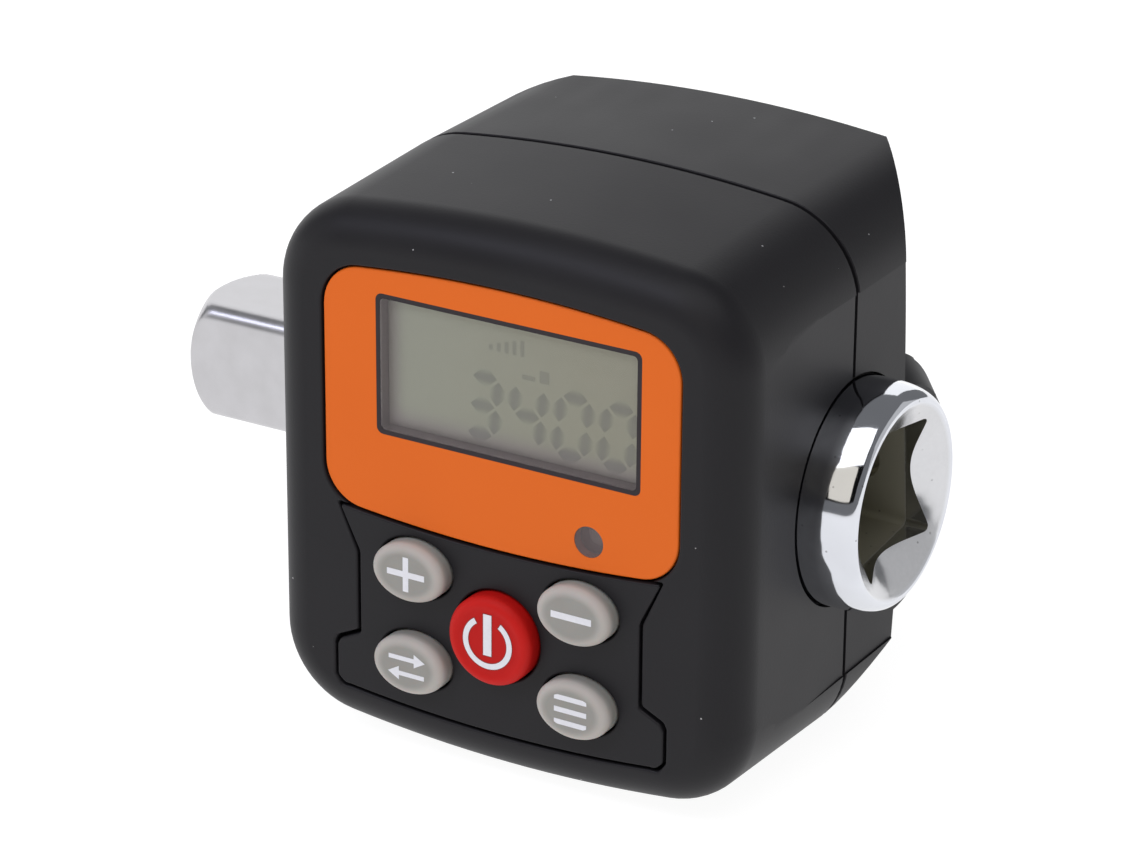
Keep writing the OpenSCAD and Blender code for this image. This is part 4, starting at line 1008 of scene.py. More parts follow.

# Bright chrome: a cool mirror with faint polishing waves and specks, satin where the bowl was
# turned, and duller down in the square, where a darker, warmer tone is painted shade. Scratches
# are drawn 0.35 mm wide, coarser than real, and run along the shaft.
bright_chrome, tree, at = material("bright_chrome_plate")
spot = node(tree, "ShaderNodeSeparateXYZ", {0: at})
flat = node(tree, "ShaderNodeCombineXYZ", {1: spot.outputs[1], 2: spot.outputs[2]})
radius = node(tree, "ShaderNodeVectorMath", {0: flat}, operation="LENGTH").outputs["Value"]
within = node(tree, "ShaderNodeMapRange", {0: radius, 1: 10.2 * MM, 2: 9.8 * MM})
in_collar = node(tree, "ShaderNodeMapRange", {0: spot.outputs[0], 1: -19 * MM, 2: -17 * MM})
inside = node(tree, "ShaderNodeMath", {0: within, 1: in_collar}, operation="MULTIPLY")
deep_and_painted_shade = node(tree, "ShaderNodeMapRange", {0: spot.outputs[0], 1: -3.1 * MM, 2: -3.5 * MM})
deep_and_painted_shade = node(tree, "ShaderNodeMath", {0: deep_and_painted_shade, 1: inside}, operation="MULTIPLY")
bowl = node(tree, "ShaderNodeMath", {0: inside, 1: 0.5}, operation="MULTIPLY")
wave = node(tree, "ShaderNodeTexNoise", {"Vector": at, "Scale": per_mm(5.0)})
drawn_out = node(tree, "ShaderNodeMapping", {"Vector": at, "Scale": (0.12, 1.0, 1.0)})
scratch = node(tree, "ShaderNodeTexNoise", {"Vector": drawn_out, "Scale": per_mm(0.35)})
pits = node(tree, "ShaderNodeTexVoronoi", {"Vector": at, "Scale": per_mm(1.6)})
pit = node(tree, "ShaderNodeMapRange", {0: pits, 1: 0.03, 2: 0.10})
mirror = node(tree, "ShaderNodeMix", {0: wave, 6: "#d0d2d8", 7: "#e0e2e8"}, data_type="RGBA")
satin = node(tree, "ShaderNodeMix", {0: scratch, 6: "#b9b7b5", 7: "#cbc9c7"}, data_type="RGBA")
worn = node(tree, "ShaderNodeMix", {0: bowl, 6: mirror, 7: satin}, data_type="RGBA")
# Painted shade: down in the square the tone turns darker and warmer.
tone = node(tree, "ShaderNodeMix", {0: deep_and_painted_shade, 6: worn, 7: "#adaa9b"}, data_type="RGBA")
pitted = {0: 0.5, 6: tone, 7: pit}
pitted = node(tree, "ShaderNodeMix", pitted, data_type="RGBA", blend_type="MULTIPLY")
rough = node(tree, "ShaderNodeMapRange", {0: bowl, 3: 0.05, 4: 0.26})
rough = node(tree, "ShaderNodeMath", {0: scratch, 1: 0.05, 2: rough}, operation="MULTIPLY_ADD")
rough = node(tree, "ShaderNodeMath", {0: deep_and_painted_shade, 1: 0.2, 2: rough}, operation="MULTIPLY_ADD")
ripple = node(tree, "ShaderNodeBump", {"Height": wave, "Strength": 1.0, "Distance": 0.10 * MM})
fine = {"Height": scratch, "Normal": ripple, "Strength": 0.25, "Distance": 0.004 * MM}
fine = node(tree, "ShaderNodeBump", fine)
metal = node(tree, "ShaderNodeMapRange", {0: deep_and_painted_shade, 3: 1.0, 4: 0.7})
surface = {"Base Color": pitted, "Roughness": rough, "Metallic": metal, "Normal": fine}
surfaced(bright_chrome, surface)

# Chrome over a ground square: soft reflections drawn along the grinding marks, which are 0.25 mm
# apart, coarser than real.
ground_chrome, tree, at = material("satin_chrome_over_ground_steel")
wave = node(tree, "ShaderNodeTexNoise", {"Vector": at, "Scale": per_mm(3.0), "Detail": 3.0})
drawn_out = node(tree, "ShaderNodeMapping", {"Vector": at, "Scale": (0.06, 1.0, 1.0)})
lines = node(tree, "ShaderNodeTexNoise", {"Vector": drawn_out, "Scale": per_mm(0.25), "Detail": 3.0})
tone = node(tree, "ShaderNodeMix", {0: wave, 6: "#b8b7b9", 7: "#cbcacd"}, data_type="RGBA")
gloss = node(tree, "ShaderNodeMapRange", {0: wave, 3: 0.24, 4: 0.36})
relief = node(tree, "ShaderNodeBump", {"Height": lines, "Strength": 0.5, "Distance": 0.006 * MM})
surface = {"Base Color": tone, "Roughness": gloss, "Metallic": 1.0, "Normal": relief}
surfaced(ground_chrome, surface)

# Bearing steel: a pale, nearly mirror-bright ball. Spring wire: duller and warmer.
polish = (1.2, 0.003, (0.05, 0.12), metal_surface)
bearing_steel = plain_finish("polished_bearing_steel", "#c9cacd", "#dddee1", *polish)
spring_wire = plain_finish("drawn_spring_wire", "#a9a6a0", "#c2bfb8", 0.2, 0.004, 0.32, metal_surface)

collar = [(collar_end, rim_r - 0.2), (collar_end + 0.2, rim_r)]
low_x, high_x = collar_groove_x
collar += [(low_x, rim_r), (low_x, collar_groove_r), (high_x, collar_groove_r), (high_x, rim_r)]
collar += [(-rim_len * up, rim_r - (rim_r - ridge_r) * drawn) for up, drawn in quarter(20)[:-1]]
collar += [(-0.04 * abs(t), ridge_r - 0.12 - 0.12 * t) for t in (-1, -0.4, 0, 0.4, 1)]
for t in (i / bowl_steps for i in range(1, bowl_steps + 1)):
    sag = bowl_sag * math.sin(math.pi * t) ** 0.9
    x = bowl_start_x + (bowl_end_x - bowl_start_x) * t + sag * 0.64
    collar.append((x, ridge_r - 0.3 + (bowl_low_r - ridge_r + 0.3) * t - sag * 0.77 * 0.6))
shaft_collar = turned("shaft_collar", collar, "X", on_shaft, 192)
h = socket_half
rounded = soft_polygon([(y * h, z * h, socket_r) for y, z in ((1, -1), (1, 1), (-1, 1), (-1, -1))])
lean = math.radians(socket_turn)
flat = [Matrix.Rotation(lean, 2) @ Vector(corner) for corner in rounded]
prism = loft("prism", [[(x, y, z) for y, z in flat] for x in (-socket_depth, 1.0)], on_shaft)
dent = [(0, dent_r), (socket_half + 1.2, dent_r), (socket_half + 1.4, dent_r - 0.3)]
dent = turned("dent", dent, "Y", on_shaft, 40)
dent.data.transform(Matrix.Translation((dent_x * MM, 0, 0)) @ Matrix.Rotation(lean, 4, "X"))
worked(shaft_collar, "DIFFERENCE", prism, dent)
finished(shaft_collar, bright_chrome, "case", "drive_shaft", sharp=32)

top_r = torsion_r + fillet
form = [(torsion_end - 0.05, shoulder_r - 0.3), (torsion_end - 0.01, top_r), (torsion_end + 0.1, top_r)]
form += [(torsion_end + fillet * drawn, torsion_r + fillet * up) for up, drawn in quarter(6, 1)]
form += [(collar_end - fillet * up, torsion_r + fillet * drawn) for up, drawn in quarter(6)]
torsion = turned("torsion_section", form + [(collar_end + 0.01, top_r)], "X", on_shaft, 128)
for side in (-1, 1):
    near, clear = sorted((side * flat_depth, side * 10))
    low, high = (flat_x - flat_half, -9.0, near), (flat_x + flat_half, 9.0, clear)
    worked(torsion, "DIFFERENCE", block("gauge_flat", low, high, on_shaft))
finished(torsion, ground_chrome, "case", "drive_shaft")

shoulder = [(torsion_end, torsion_r), (torsion_end, shoulder_r - 0.1), (torsion_end - 0.1, shoulder_r)]
for x, deeper in ((groove_half, False), (groove_half, True), (-groove_half, True), (-groove_half, False)):
    shoulder.append((groove_x + x, shoulder_r - groove_depth * deeper))
shoulder += [(shoulder_x + dx, shoulder_r - d) for dx, d in ((0.25, 0), (0.07, 0.07), (0, 0.25))]
shoulder = turned("shaft_shoulder", shoulder + [(shoulder_x, 5.0)], "X", on_shaft, 160)
finished(shoulder, bright_chrome, "case", "drive_shaft")

# The male square: 12.7 mm across flats with softened corners, and a domed end.
angles = []
for t in (i / 48 for i in range(4 * 48)):
    angles.append(math.radians(90 * t - 45 + 6 * math.sin(2 * math.pi * t)))
rings = [[(male_end_x, 0.4 * math.cos(a), 0.4 * math.sin(a)) for a in angles]]
profile = [(male_end_x, end_flat_r * 0.6), (male_end_x + 0.005, end_flat_r * 0.9)]
for up, drawn in quarter(24, 1):
    profile.append((male_end_x + dome_len * drawn, across_r - (across_r - end_flat_r) * up))
profile += [(male_end_x + dome_len + male_len * i / 10, across_r) for i in range(1, 11)]
for x, limit in profile:
    ring = [(a, softer(square_reach(a), limit, 0.22)) for a in angles]
    rings.append([(x, r * math.cos(a), r * math.sin(a)) for a, r in ring])
male = loft("male_square", rings, on_shaft)
hole = [(-3.2, ball_r + ball_play), (5.9, ball_r + ball_play), (6.6, ball_r + 0.35)]
worked(male, "DIFFERENCE", turned("ball_hole", hole, "Y", (ball_x, 0, 0), 64))
finished(male, ground_chrome, "case", "drive_shaft", sharp=35)

turns = [math.pi * i / 32 for i in range(33)]
ball = [(-ball_r * math.cos(a), ball_r * math.sin(a)) for a in turns]
ball_place = (ball_x, square_half + ball_proud - ball_r, 0)
ball = turned("detent_ball_steel", ball, "Y", ball_place, 64)
finished(ball, bearing_steel, "ball", "detent_ball")

# A coil: a spiral of the given turns, height and end radii, with round wire.
coil_sizes = {"Start radius": 2.0, "End radius": 2.0, "Height": 8, "Wire radius": 0.3}
coil_sockets = {label: ("Float", size * MM) for label, size in coil_sizes.items()}
coil_tree, given = started_tree("coil", {"Turns": ("Float", 5.0)} | coil_sockets)
run = {"Rotations": given["Turns"], "Start Radius": given["Start radius"], "Resolution": 28}
run |= {"End Radius": given["End radius"], "Height": given["Height"]}
spiral = node(coil_tree, "GeometryNodeCurveSpiral", run)
section = {"Resolution": 10, "Radius": given["Wire radius"]}
section = node(coil_tree, "GeometryNodeCurvePrimitiveCircle", section)
tube = node(coil_tree, "GeometryNodeCurveToMesh", {"Fill Caps": True, 0: spiral, 1: section})
ended_tree(coil_tree, given, tube)
detent_spring = coil("detent_coil", 5.0, 1.95, 1.0, coil_rise, coil_wire, (ball_x, coil_foot, 0), "Y")
finished(detent_spring, spring_wire, "case", "detent_spring", weighted=False)
foot, left = (ball_x * MM, coil_foot * MM, 0), 1 - ball_travel / (coil_rise + coil_wire)
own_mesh(detent_spring)

# ---------------------------------------------------------------- Gauges and pin
# Foil strain gauges are cemented to the shaft's flats: a copper-coloured grid on a polyimide
# film. A flat flexible lead takes them to the board, and a hardened pin locates the case.


def striped_finish(name, axis, pitch_mm, above, first, second, surface, metal=False):
    """Two tones in straight stripes along an axis, the second standing slightly proud."""
    made, tree, at = material(name)
    spot = node(tree, "ShaderNodeSeparateXYZ", {0: at}).outputs[axis]
    turns = {0: spot, 1: 2 * math.pi * per_mm(pitch_mm)}
    wave = node(tree, "ShaderNodeMath", turns, operation="MULTIPLY")
    wave = node(tree, "ShaderNodeMath", {0: wave}, operation="SINE")
    lines = node(tree, "ShaderNodeMath", {0: wave, 1: above}, operation="GREATER_THAN")
    tone = node(tree, "ShaderNodeMix", {0: lines, 6: first, 7: second}, data_type="RGBA")
    relief = node(tree, "ShaderNodeBump", {"Height": lines, "Strength": 1.0, "Distance": 0.01 * MM})
    if metal:
        surface = surface | {"Metallic": lines}
    return surfaced(made, surface | {"Base Color": tone, "Normal": relief})


# Foil on film: bright copper-coloured lines 0.7 mm apart, coarser than real, over amber film.
foil = striped_finish("foil_grid_on_polyimide", 1, 0.7, 0.1, "#b5651d", "#d9a066", {"Roughness": 0.3}, True)
# The flat lead: amber film with paler tracks 0.9 mm apart.
film_surface = {"Roughness": 0.35, "IOR": 1.7}
film = striped_finish("polyimide_flex", 0, 0.9, 0.2, "#a85a16", "#c98638", film_surface)
redress(foil, "strain_gauges")
redress(film, "gauge_flex")
redress(bearing_steel, "locating_pin")

# ---------------------------------------------------------------- Mat, pads and board
# A silicone mat lies on the board round the keys' feet, with a carbon pill under each key over
# gold-plated pads. The board is green glass-epoxy, held by four screws into the front shell.
board_back = -12.9
leg_pitch, leg_half_w, dimple_r, dimple_in = 0.8, 0.22, 0.3, 1.4


def set_out(tree, points, thing):
    """Copies of an object's shape, one at each point."""
    shape = node(tree, "GeometryNodeObjectInfo", {"Object": thing}).outputs["Geometry"]
    return node(tree, "GeometryNodeInstanceOnPoints", {"Points": points, "Instance": shape})


def chip(name, x, z, w, h, t, legs, pitch):
    """A moulded chip with a bevelled body, a pin-one dimple and bent legs."""
    levels = ((0.12, 0.75), (t * 0.55, 0.6), (t, 0.75))
    rings = [standing(rectangle(x, z, w, h, -d), board_back + up) for up, d in levels]
    top = board_back + t
    corner = (x - w / 2 + dimple_in, z + h / 2 - dimple_in)
    body = loft(name + "_body", rings)
    worked(body, "DIFFERENCE", rod("dimple", *corner, dimple_r, top - 0.1, top + 1, 24))
    finished(body, epoxy_black, "case", name)
    sides = []
    bend = [(-0.65, t * 0.5), (-0.3, t * 0.5), (-0.25, 0.02), (0.0, 0.02)]
    bend += [(0.0, 0.14), (-0.38, 0.14), (-0.4, t * 0.62), (-0.65, t * 0.62)]
    for side in (-1, 1):
        reach = pitch * leg_half_w
        rings = [[(side * (w / 2 + a), b, c) for a, b in bend] for c in (-reach, reach)]
        strip = loft("leg", rings, on_shaft)
        values = {"Leg": strip, "Legs a side": legs, "Pitch": pitch * MM, "Finish": tin_plate}
        row_of = grown(name + "_legs", leg_tree, values)
        row_of.data.transform(Matrix.Translation(Vector((x + CASE_X, board_back, z + CASE_Z)) * MM))
        bpy.data.meshes.remove(strip.data)
        sides.append(row_of)
    finished(joined(name + "_legs", sides), tin_plate, "case", name, weighted=False)


# Silicone mat: a matt warm grey. Carbon rubber: a flat charcoal. Foam: near black, like the seals.
mat_surface = {"IOR": 1.42, "Subsurface Weight": 0.1, "Subsurface Scale": 0.6 * MM}
redress(plain_finish("grey_silicone_mat", "#868480", "#918f8b", 0.8, 0.02, 0.6, mat_surface), "keypad_mat")
carbon = plain_finish("carbon_rubber", "#161617", "#232325", 0.2, 0, 0.7, {})
redress(carbon, *[name + "_pill" for name in key_places])
redress(plain_finish("black_gasket_foam", *rubber), "lens_gasket")
# Gold plate: a warm yellow sheen over the pads.
gold = plain_finish("gold_plate", "#c89b3a", "#dcb455", 0.6, 0.005, (0.2, 0.3), metal_surface, 3.0)
redress(gold, "contact_pads")

# Green lacquer over copper: tracks stand slightly proud and paler under it, among pale round
# vias. The tracks are 2.6 mm apart, coarser than real.
solder_mask, tree, at = material("green_solder_mask")
cells = {"Vector": at, "Scale": per_mm(2.6), "Randomness": 0.6}
edges = {"feature": "DISTANCE_TO_EDGE", "distance": "CHEBYCHEV"}
cells = node(tree, "ShaderNodeTexVoronoi", cells, **edges).outputs["Distance"]
track = node(tree, "ShaderNodeMapRange", {0: cells, 1: 0.10, 2: 0.07})
holes = node(tree, "ShaderNodeTexVoronoi", {"Vector": at, "Scale": per_mm(3.4)})
via = node(tree, "ShaderNodeMapRange", {0: holes, 1: 0.11, 2: 0.08})
tone = node(tree, "ShaderNodeMix", {0: track, 6: "#12512c", 7: "#1f7040"}, data_type="RGBA")
tone = node(tree, "ShaderNodeMix", {0: via, 6: tone, 7: "#b9b08a"}, data_type="RGBA")
weave = node(tree, "ShaderNodeTexNoise", {"Vector": at, "Scale": per_mm(0.5)})
faint = node(tree, "ShaderNodeMath", {0: weave, 1: 0.1}, operation="MULTIPLY")
tone = node(tree, "ShaderNodeMix", {0: faint, 6: tone, 7: "#2c8a55"}, data_type="RGBA")
relief = node(tree, "ShaderNodeBump", {"Height": track, "Strength": 1.0, "Distance": 0.03 * MM})
surface = {"Base Color": tone, "Normal": relief, "Roughness": 0.3, "IOR": 1.55}
surfaced(solder_mask, surface | {"Coat Weight": 0.3, "Coat Roughness": 0.15})
redress(solder_mask, "circuit_board")

# Moulding epoxy: black and finely gritty. Acrylic: an even, glossy white.
epoxy = ("#19191b", "#242427", 0.25, 0.01, 0.5, {"IOR": 1.55}, 3.0)
epoxy_black = plain_finish("black_moulding_epoxy", *epoxy)
redress(epoxy_black, "buzzer")
acrylic = plain_finish("white_acrylic_light_guide", "#e2e4e6", "#f0f1f2", 2.0, 0, 0.25, {"IOR": 1.49})
redress(acrylic, "lcd_backlight")
# Connector rubber: fine conducting stripes, drawn 0.5 mm apart, coarser than real so they show.
rubber_surface = {"Roughness": 0.55}
stripes = striped_finish("striped_connector_rubber", 0, 0.5, 0.0, "#d68a96", "#2b2527", rubber_surface)
redress(stripes, "lcd_connectors")
# The display's frame: the case's nylon in a lighter charcoal.
redress(moulded_plastic("dark_frame_plastic", "#353336", "#3e3c3f", 0.4, 0.5), "lcd_holder")

# The chips' legs, all alike, are bent strips of tinned copper set out along each side.
leg_sockets = {"Leg": ("Object", None), "Legs a side": ("Int", 8), "Pitch": ("Float", leg_pitch * MM)}
leg_tree, given = started_tree("chip_legs", leg_sockets)
gaps = node(leg_tree, "ShaderNodeMath", {0: given["Legs a side"], 1: 1.0}, operation="SUBTRACT")
span = node(leg_tree, "ShaderNodeMath", {0: gaps, 1: given["Pitch"]}, operation="MULTIPLY")
first = node(leg_tree, "ShaderNodeMath", {0: span, 1: -0.5}, operation="MULTIPLY")
first = node(leg_tree, "ShaderNodeCombineXYZ", {2: first})
step = node(leg_tree, "ShaderNodeCombineXYZ", {2: given["Pitch"]})
row = {"Count": given["Legs a side"], "Start Location": first, "Offset": step}
row = node(leg_tree, "GeometryNodeMeshLine", row)
ended_tree(leg_tree, given, set_out(leg_tree, row, given["Leg"]))
chip("main_chip", 9.6, 16.0, 9.0, 9.0, 1.4, 9, leg_pitch)
chip("amplifier_chip", 0.0, -16.0, 5.0, 4.0, 1.4, 3, 1.0)

# Small resistors and capacitors: a tan body between two tinned ends.
ceramic, tree, at = material("fired_ceramic_with_tinned_ends")
spot = node(tree, "ShaderNodeSeparateXYZ", {0: at}).outputs[2]
off = node(tree, "ShaderNodeMath", {0: spot, 1: -20.4 * MM}, operation="SUBTRACT")
off = node(tree, "ShaderNodeMath", {0: off}, operation="ABSOLUTE")
tinned = node(tree, "ShaderNodeMath", {0: off, 1: 0.5 * MM}, operation="GREATER_THAN")
tone = node(tree, "ShaderNodeMix", {0: tinned, 6: "#9c8158", 7: "#c9c9cb"}, data_type="RGBA")
relief = node(tree, "ShaderNodeBump", {"Height": tinned, "Strength": 1.0, "Distance": 0.02 * MM})
surface = {"Base Color": tone, "Metallic": tinned, "Roughness": 0.35, "Normal": relief}
redress(surfaced(ceramic, surface), "small_parts")

# ---------------------------------------------------------------- Screws
# Zinc-plated pan-head screws with a cross recess: four short ones hold the board, and four long
# black ones come in from the back, down the counterbores, and hold the two shells together.
board_screw_x, board_screw_z = 20.6, 12.0
thread_pitch, recess_depth, recess_half = 0.9, 0.65, 0.22


def screws(name, places, seat, head_r, head_t, shank_r, length, finish, stands_for):
    """Pan-head screws at places (x, z): heads on the seat, rolled threads towards the front."""
    head = [(0.0, shank_r), (0.02, head_r - 0.1), (0.12, head_r), (head_t * 0.45, head_r)]
    head += [(head_t * (1 - 0.55 * up), head_r * (1 - 0.55 * drawn)) for up, drawn in quarter(10, 1)]
    screw = turned(name + "_head", head, "Y", on_shaft, 48)
    low = (-head_r * 0.56, head_t - recess_depth, -recess_half)
    for turn_by in (0, 90):
        slot = block("slot", low, (head_r * 0.56, head_t + 1, recess_half), on_shaft)
        slot.data.transform(Matrix.Rotation(math.radians(turn_by), 4, "Y"))
        worked(screw, "DIFFERENCE", slot)
    thread = [(0.01, shank_r * 0.82)]
    for k in range(int((length - 2.0) / thread_pitch)):
        y = -1.0 - k * thread_pitch
        for down, share in ((0.0, 0.8), (0.42, 1.0), (0.58, 1.0), (0.98, 0.8)):
            thread.append((y - thread_pitch * down, shank_r * share))
    thread += [(-length + 0.6, shank_r * 0.7), (-length, shank_r * 0.25)]
    screw = joined(name + "_one", [screw, turned("thread", thread, "Y", on_shaft, 24)])
    mesh = bpy.data.meshes.new("places")
    mesh.from_pydata([((x + CASE_X) * MM, seat * MM, (z + CASE_Z) * MM) for x, z in places], [], [])
    at = placed("places", mesh)
    made = grown(name, screw_tree, {"Places": at, "Screw": screw, "Finish": finish})
    for tool in (at, screw):
        bpy.data.meshes.remove(tool.data)
    finished(made, finish, "case", stands_for, weighted=False)


# Zinc plate: a blue-grey metal with a soft, uneven sheen; the black kind is a dark charcoal.
zinc = (0.5, 0.006, (0.26, 0.38), metal_surface, 3.0)
bright_zinc = plain_finish("bright_zinc_plate", "#b4b7ba", "#cdd0d3", *zinc)
black_zinc = plain_finish("black_zinc_plate", "#2c2c2e", "#3f3f42", *zinc)

# One tree sets a screw out at each corner of a list of places held as loose points.
screw_tree, given = started_tree("screws_at_places", {"Places": ("Object", None), "Screw": ("Object", None)})
where = node(screw_tree, "GeometryNodeObjectInfo", {"Object": given["Places"]}).outputs["Geometry"]
ended_tree(screw_tree, given, set_out(screw_tree, where, given["Screw"]))
corners = [(sx * board_screw_x, sz * board_screw_z) for sx in (-1, 1) for sz in (-1, 1)]
screws("board_screws_zinc", corners, board_back, 1.8, 1.3, 1.0, 5.0, bright_zinc, "board_screws")
places = (case_screw_places, screw_seat_y)
screws("case_screws_black", *places, 2.2, 2.0, 1.1, 16.0, black_zinc, "case_screws")

# ---------------------------------------------------------------- Cells and contacts
# Two round cells lie side by side, opposite ways up, each between a conical coil spring and a
# pressed plate of tinned steel. Two insulated leads run from the bay to the board.
cell_r, cell_half, cell_pitch, cell_y, button_r, button_l = 5.25, 22.25, 10.7, 20.2, 1.9, 0.8
plate_half, plate_t, plate_ease, contact_wire = 2.5, 0.3, 0.08, 0.16

# The sleeve of a cell: glossy graphite, with a copper-coloured band at one end.
sleeve, tree, at = material("printed_shrink_sleeve")
spot = node(tree, "ShaderNodeSeparateXYZ", {0: at})
off = node(tree, "ShaderNodeMath", {0: spot.outputs[0], 1: CASE_X * MM}, operation="SUBTRACT")
upper = {0: spot.outputs[2], 1: (CASE_Z + hump_z) * MM}
upper = node(tree, "ShaderNodeMath", upper, operation="GREATER_THAN")
way = node(tree, "ShaderNodeMath", {0: upper, 1: 2.0, 2: -1.0}, operation="MULTIPLY_ADD")
along = node(tree, "ShaderNodeMath", {0: off, 1: way}, operation="MULTIPLY")
band = node(tree, "ShaderNodeMapRange", {0: along, 1: 11.0 * MM, 2: 11.2 * MM})
haze = node(tree, "ShaderNodeTexNoise", {"Vector": at, "Scale": per_mm(3.0)})
tone = node(tree, "ShaderNodeMix", {0: haze, 6: "#39393d", 7: "#434348"}, data_type="RGBA")
tone = node(tree, "ShaderNodeMix", {0: band, 6: tone, 7: "#b4703a"}, data_type="RGBA")
metal = node(tree, "ShaderNodeMath", {0: band, 1: 0.6}, operation="MULTIPLY")
gloss = node(tree, "ShaderNodeMapRange", {0: haze, 3: 0.28, 4: 0.36})
surface = {"Base Color": tone, "Metallic": metal, "Roughness": gloss, "IOR": 1.53}
surfaced(sleeve, surface | {"Coat Weight": 0.4, "Coat Roughness": 0.12})

for name, side in (("battery_upper", 1), ("battery_lower", -1)):
    place = (CASE_X, cell_y, CASE_Z + hump_z + side * cell_pitch / 2)
    half, r, collar_x = cell_half, cell_r, cell_half - button_l
    wrap = [(-half, r - 1.2), (-half + 0.02, r - 0.4), (-half + 0.3, r)]
    wrap += [(collar_x - 0.5, r), (collar_x - 0.1, r - 0.35), (collar_x, r - 1.2)]
    cap = [(collar_x - 0.02, r - 1.3), (collar_x + 0.04, button_r + 0.6), (collar_x + 0.04, button_r)]
    cap += [(half - 0.15, button_r), (half, button_r - 0.2)]
    foot = [(-half + 0.02, r - 1.3), (-half - 0.02, r - 1.5)]
    wrap, cap, foot = ([(side * a, b) for a, b in form] for form in (wrap, cap, foot))
    finished(turned(name + "_sleeve", wrap, "X", place, 72), sleeve, "case", name)
    ends = [turned("cap", cap, "X", place, 48), turned("foot", foot, "X", place, 48)]
    finished(joined(name + "_ends", ends), tin_plate, "case", name)

springs, plates = [], []
for side in (-1, 1):
    z = CASE_Z + hump_z + side * cell_pitch / 2
    height = bay_x - plate_t - cell_half - 0.05 - 2 * contact_wire
    start = (CASE_X - side * (bay_x - plate_t - contact_wire), cell_y, z)
    axis = "X" if side > 0 else "-X"
    springs.append(coil("contact_coil", 3.0, 2.3, 1.7, height, contact_wire, start, axis))
    for e in (-1, 1):
        x, y = CASE_X + e * (bay_x - plate_t / 2), cell_y - 0.3
        low = (x - plate_t / 2, y - plate_half, z - plate_half)
        plate_form = block("plate", low, (x + plate_t / 2, y + plate_half, z + plate_half), on_shaft)
        plates.append(eased(plate_form, plate_ease))
        if e == side:
            low_x, high_x = sorted((e * (cell_half + 0.06), e * (bay_x - 0.2)))
            inner, outer = (0.75, 1) if e > 0 else (1, 0.75)
            dimple = [(low_x, button_r * inner), (high_x, button_r * outer)]
            plates.append(turned("dimple", dimple, "X", (CASE_X, cell_y, z), 40))
coils = joined("battery_contact_coils", springs)
finished(coils, spring_wire, "case", "battery_springs", weighted=False)
finished(joined("battery_contact_plates", plates), tin_plate, "case", "battery_plates")

# The leads' covers: one red and one black, with a soft gloss and a faint haze.
wire_cover, tree, at = material("red_and_black_wire_cover")
spot = node(tree, "ShaderNodeSeparateXYZ", {0: at}).outputs[0]
dark = node(tree, "ShaderNodeMath", {0: spot, 1: CASE_X * MM}, operation="GREATER_THAN")
haze = node(tree, "ShaderNodeTexNoise", {"Vector": at, "Scale": per_mm(0.6)})
faint = node(tree, "ShaderNodeMath", {0: haze, 1: 0.1}, operation="MULTIPLY")
tone = node(tree, "ShaderNodeMix", {0: dark, 6: "#a3201c", 7: "#1b1b1d"}, data_type="RGBA")
tone = node(tree, "ShaderNodeMix", {0: faint, 6: tone, 7: "#5a3a38"}, data_type="RGBA")
relief = node(tree, "ShaderNodeBump", {"Height": haze, "Strength": 1.0, "Distance": 0.01 * MM})
surface = {"Base Color": tone, "Normal": relief, "Roughness": 0.4, "IOR": 1.53}
redress(surfaced(wire_cover, surface), "battery_leads")

# ---------------------------------------------------------------- Battery cover
# The rounded back of the bay, moulded of the same nylon, held by four tongues that snap into the
# rear shell. Raised ribs at its end give a thumb something to push against.
cover_t, cover_gap, inner_bevel, cover_in, cover_ease = 1.2, 0.08, 1.8, 24.1, 0.4
cover_seam = rear_depth + cover_gap
rib_count, rib_pitch, rib_r, rib_root, rib_high, rib_spread, rib_x = 5, 1.8, 0.45, 0.25, 0.30, 32.0, 14.0


def hump_form(name, r, half, bevel, soft=0.0):
    """A round bar along the shaft with bevelled ends, softened by `soft`."""
    form = [(-half, 0), (-half, r - bevel - soft), (-half + soft * 0.8, r - bevel + soft * 0.4)]
    form += [(bevel - half - soft * 0.5, r - soft * 0.5), (bevel - half + soft, r)]
    form += [(-x, radius) for x, radius in reversed(form)]
    return turned(name, form, "X", hump_place, 192)


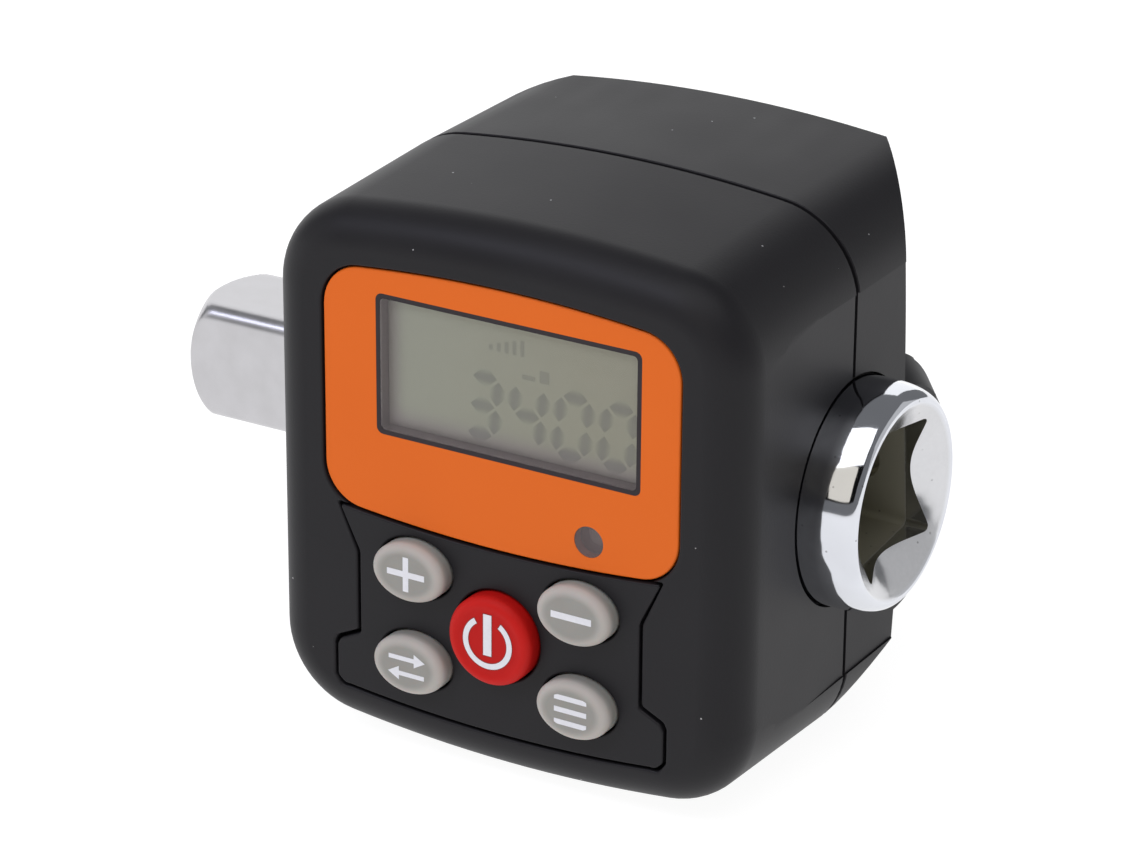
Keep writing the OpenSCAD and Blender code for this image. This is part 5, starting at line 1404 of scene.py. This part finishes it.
cover = hump_form("cover_skin", hump_r, hump_half, hump_bevel, cover_ease)
worked(cover, "INTERSECT", behind(cover_seam, cover_seam + hump_r))
worked(cover, "DIFFERENCE", hump_form("cover_hollow", hump_r - cover_t, cover_in, inner_bevel))
for side, x in tongue_places:
    z = hump_z + side * (bay_half_z + 0.15 + tongue_t / 2)
    low = (x - tongue_w / 2, rear_depth - tongue_l, z - tongue_t / 2)
    tongue = block("tongue", low, (x + tongue_w / 2, rear_depth + 1.6, z + tongue_t / 2))
    worked(tongue, "INTERSECT", hump_form("bar", hump_r - 0.1, hump_half, hump_bevel))
    worked(cover, "UNION", tongue)

# The grip: five low ribs across the cover near one end, bent round it.
rib_sockets = {"Rib": ("Object", None), "Ribs": ("Int", 5), "Pitch": ("Float", rib_pitch * MM)}
rib_tree, given = started_tree("grip_ribs", rib_sockets)
step = node(rib_tree, "ShaderNodeCombineXYZ", {0: given["Pitch"]})
row = node(rib_tree, "GeometryNodeMeshLine", {"Count": given["Ribs"], "Offset": step})
ended_tree(rib_tree, given, set_out(rib_tree, row, given["Rib"]))

# The cover's nylon: a shade lighter and duller than the case, from a mould of its own.
cover_plastic = moulded_plastic("moulded_nylon_cover", "#1c1b1e", "#232225", 0.3, 0.48)
rings = []
for i in range(25):
    lean = math.radians(90 - rib_spread + 2 * rib_spread * i / 24)
    rise = rib_root + rib_high * min(1.0, (1 - abs(i / 12 - 1)) * 6 + 0.15)
    ring = []
    for a in (2 * math.pi * k / 12 for k in range(12)):
        sunk = 0.1 if math.sin(a) < -0.1 else 0
        r = hump_r - rib_root + rise * max(0.0, math.sin(a)) - sunk
        ring.append((rib_r * math.cos(a), r * math.sin(lean), r * math.cos(lean)))
    rings.append(ring)
one_rib = loft("rib", rings, on_shaft)
values = {"Rib": one_rib, "Ribs": rib_count, "Pitch": rib_pitch * MM, "Finish": cover_plastic}
ribs = grown("grip_ribs", rib_tree, values)
ribs.data.transform(Matrix.Translation((Vector(hump_place) + Vector((rib_x, 0, 0))) * MM))
bpy.data.meshes.remove(one_rib.data)
finished(ribs, cover_plastic, "bay_cover", "battery_cover", weighted=False)
finished(cover, cover_plastic, "bay_cover", "battery_cover")

# ---------------------------------------------------------------- End
low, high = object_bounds()
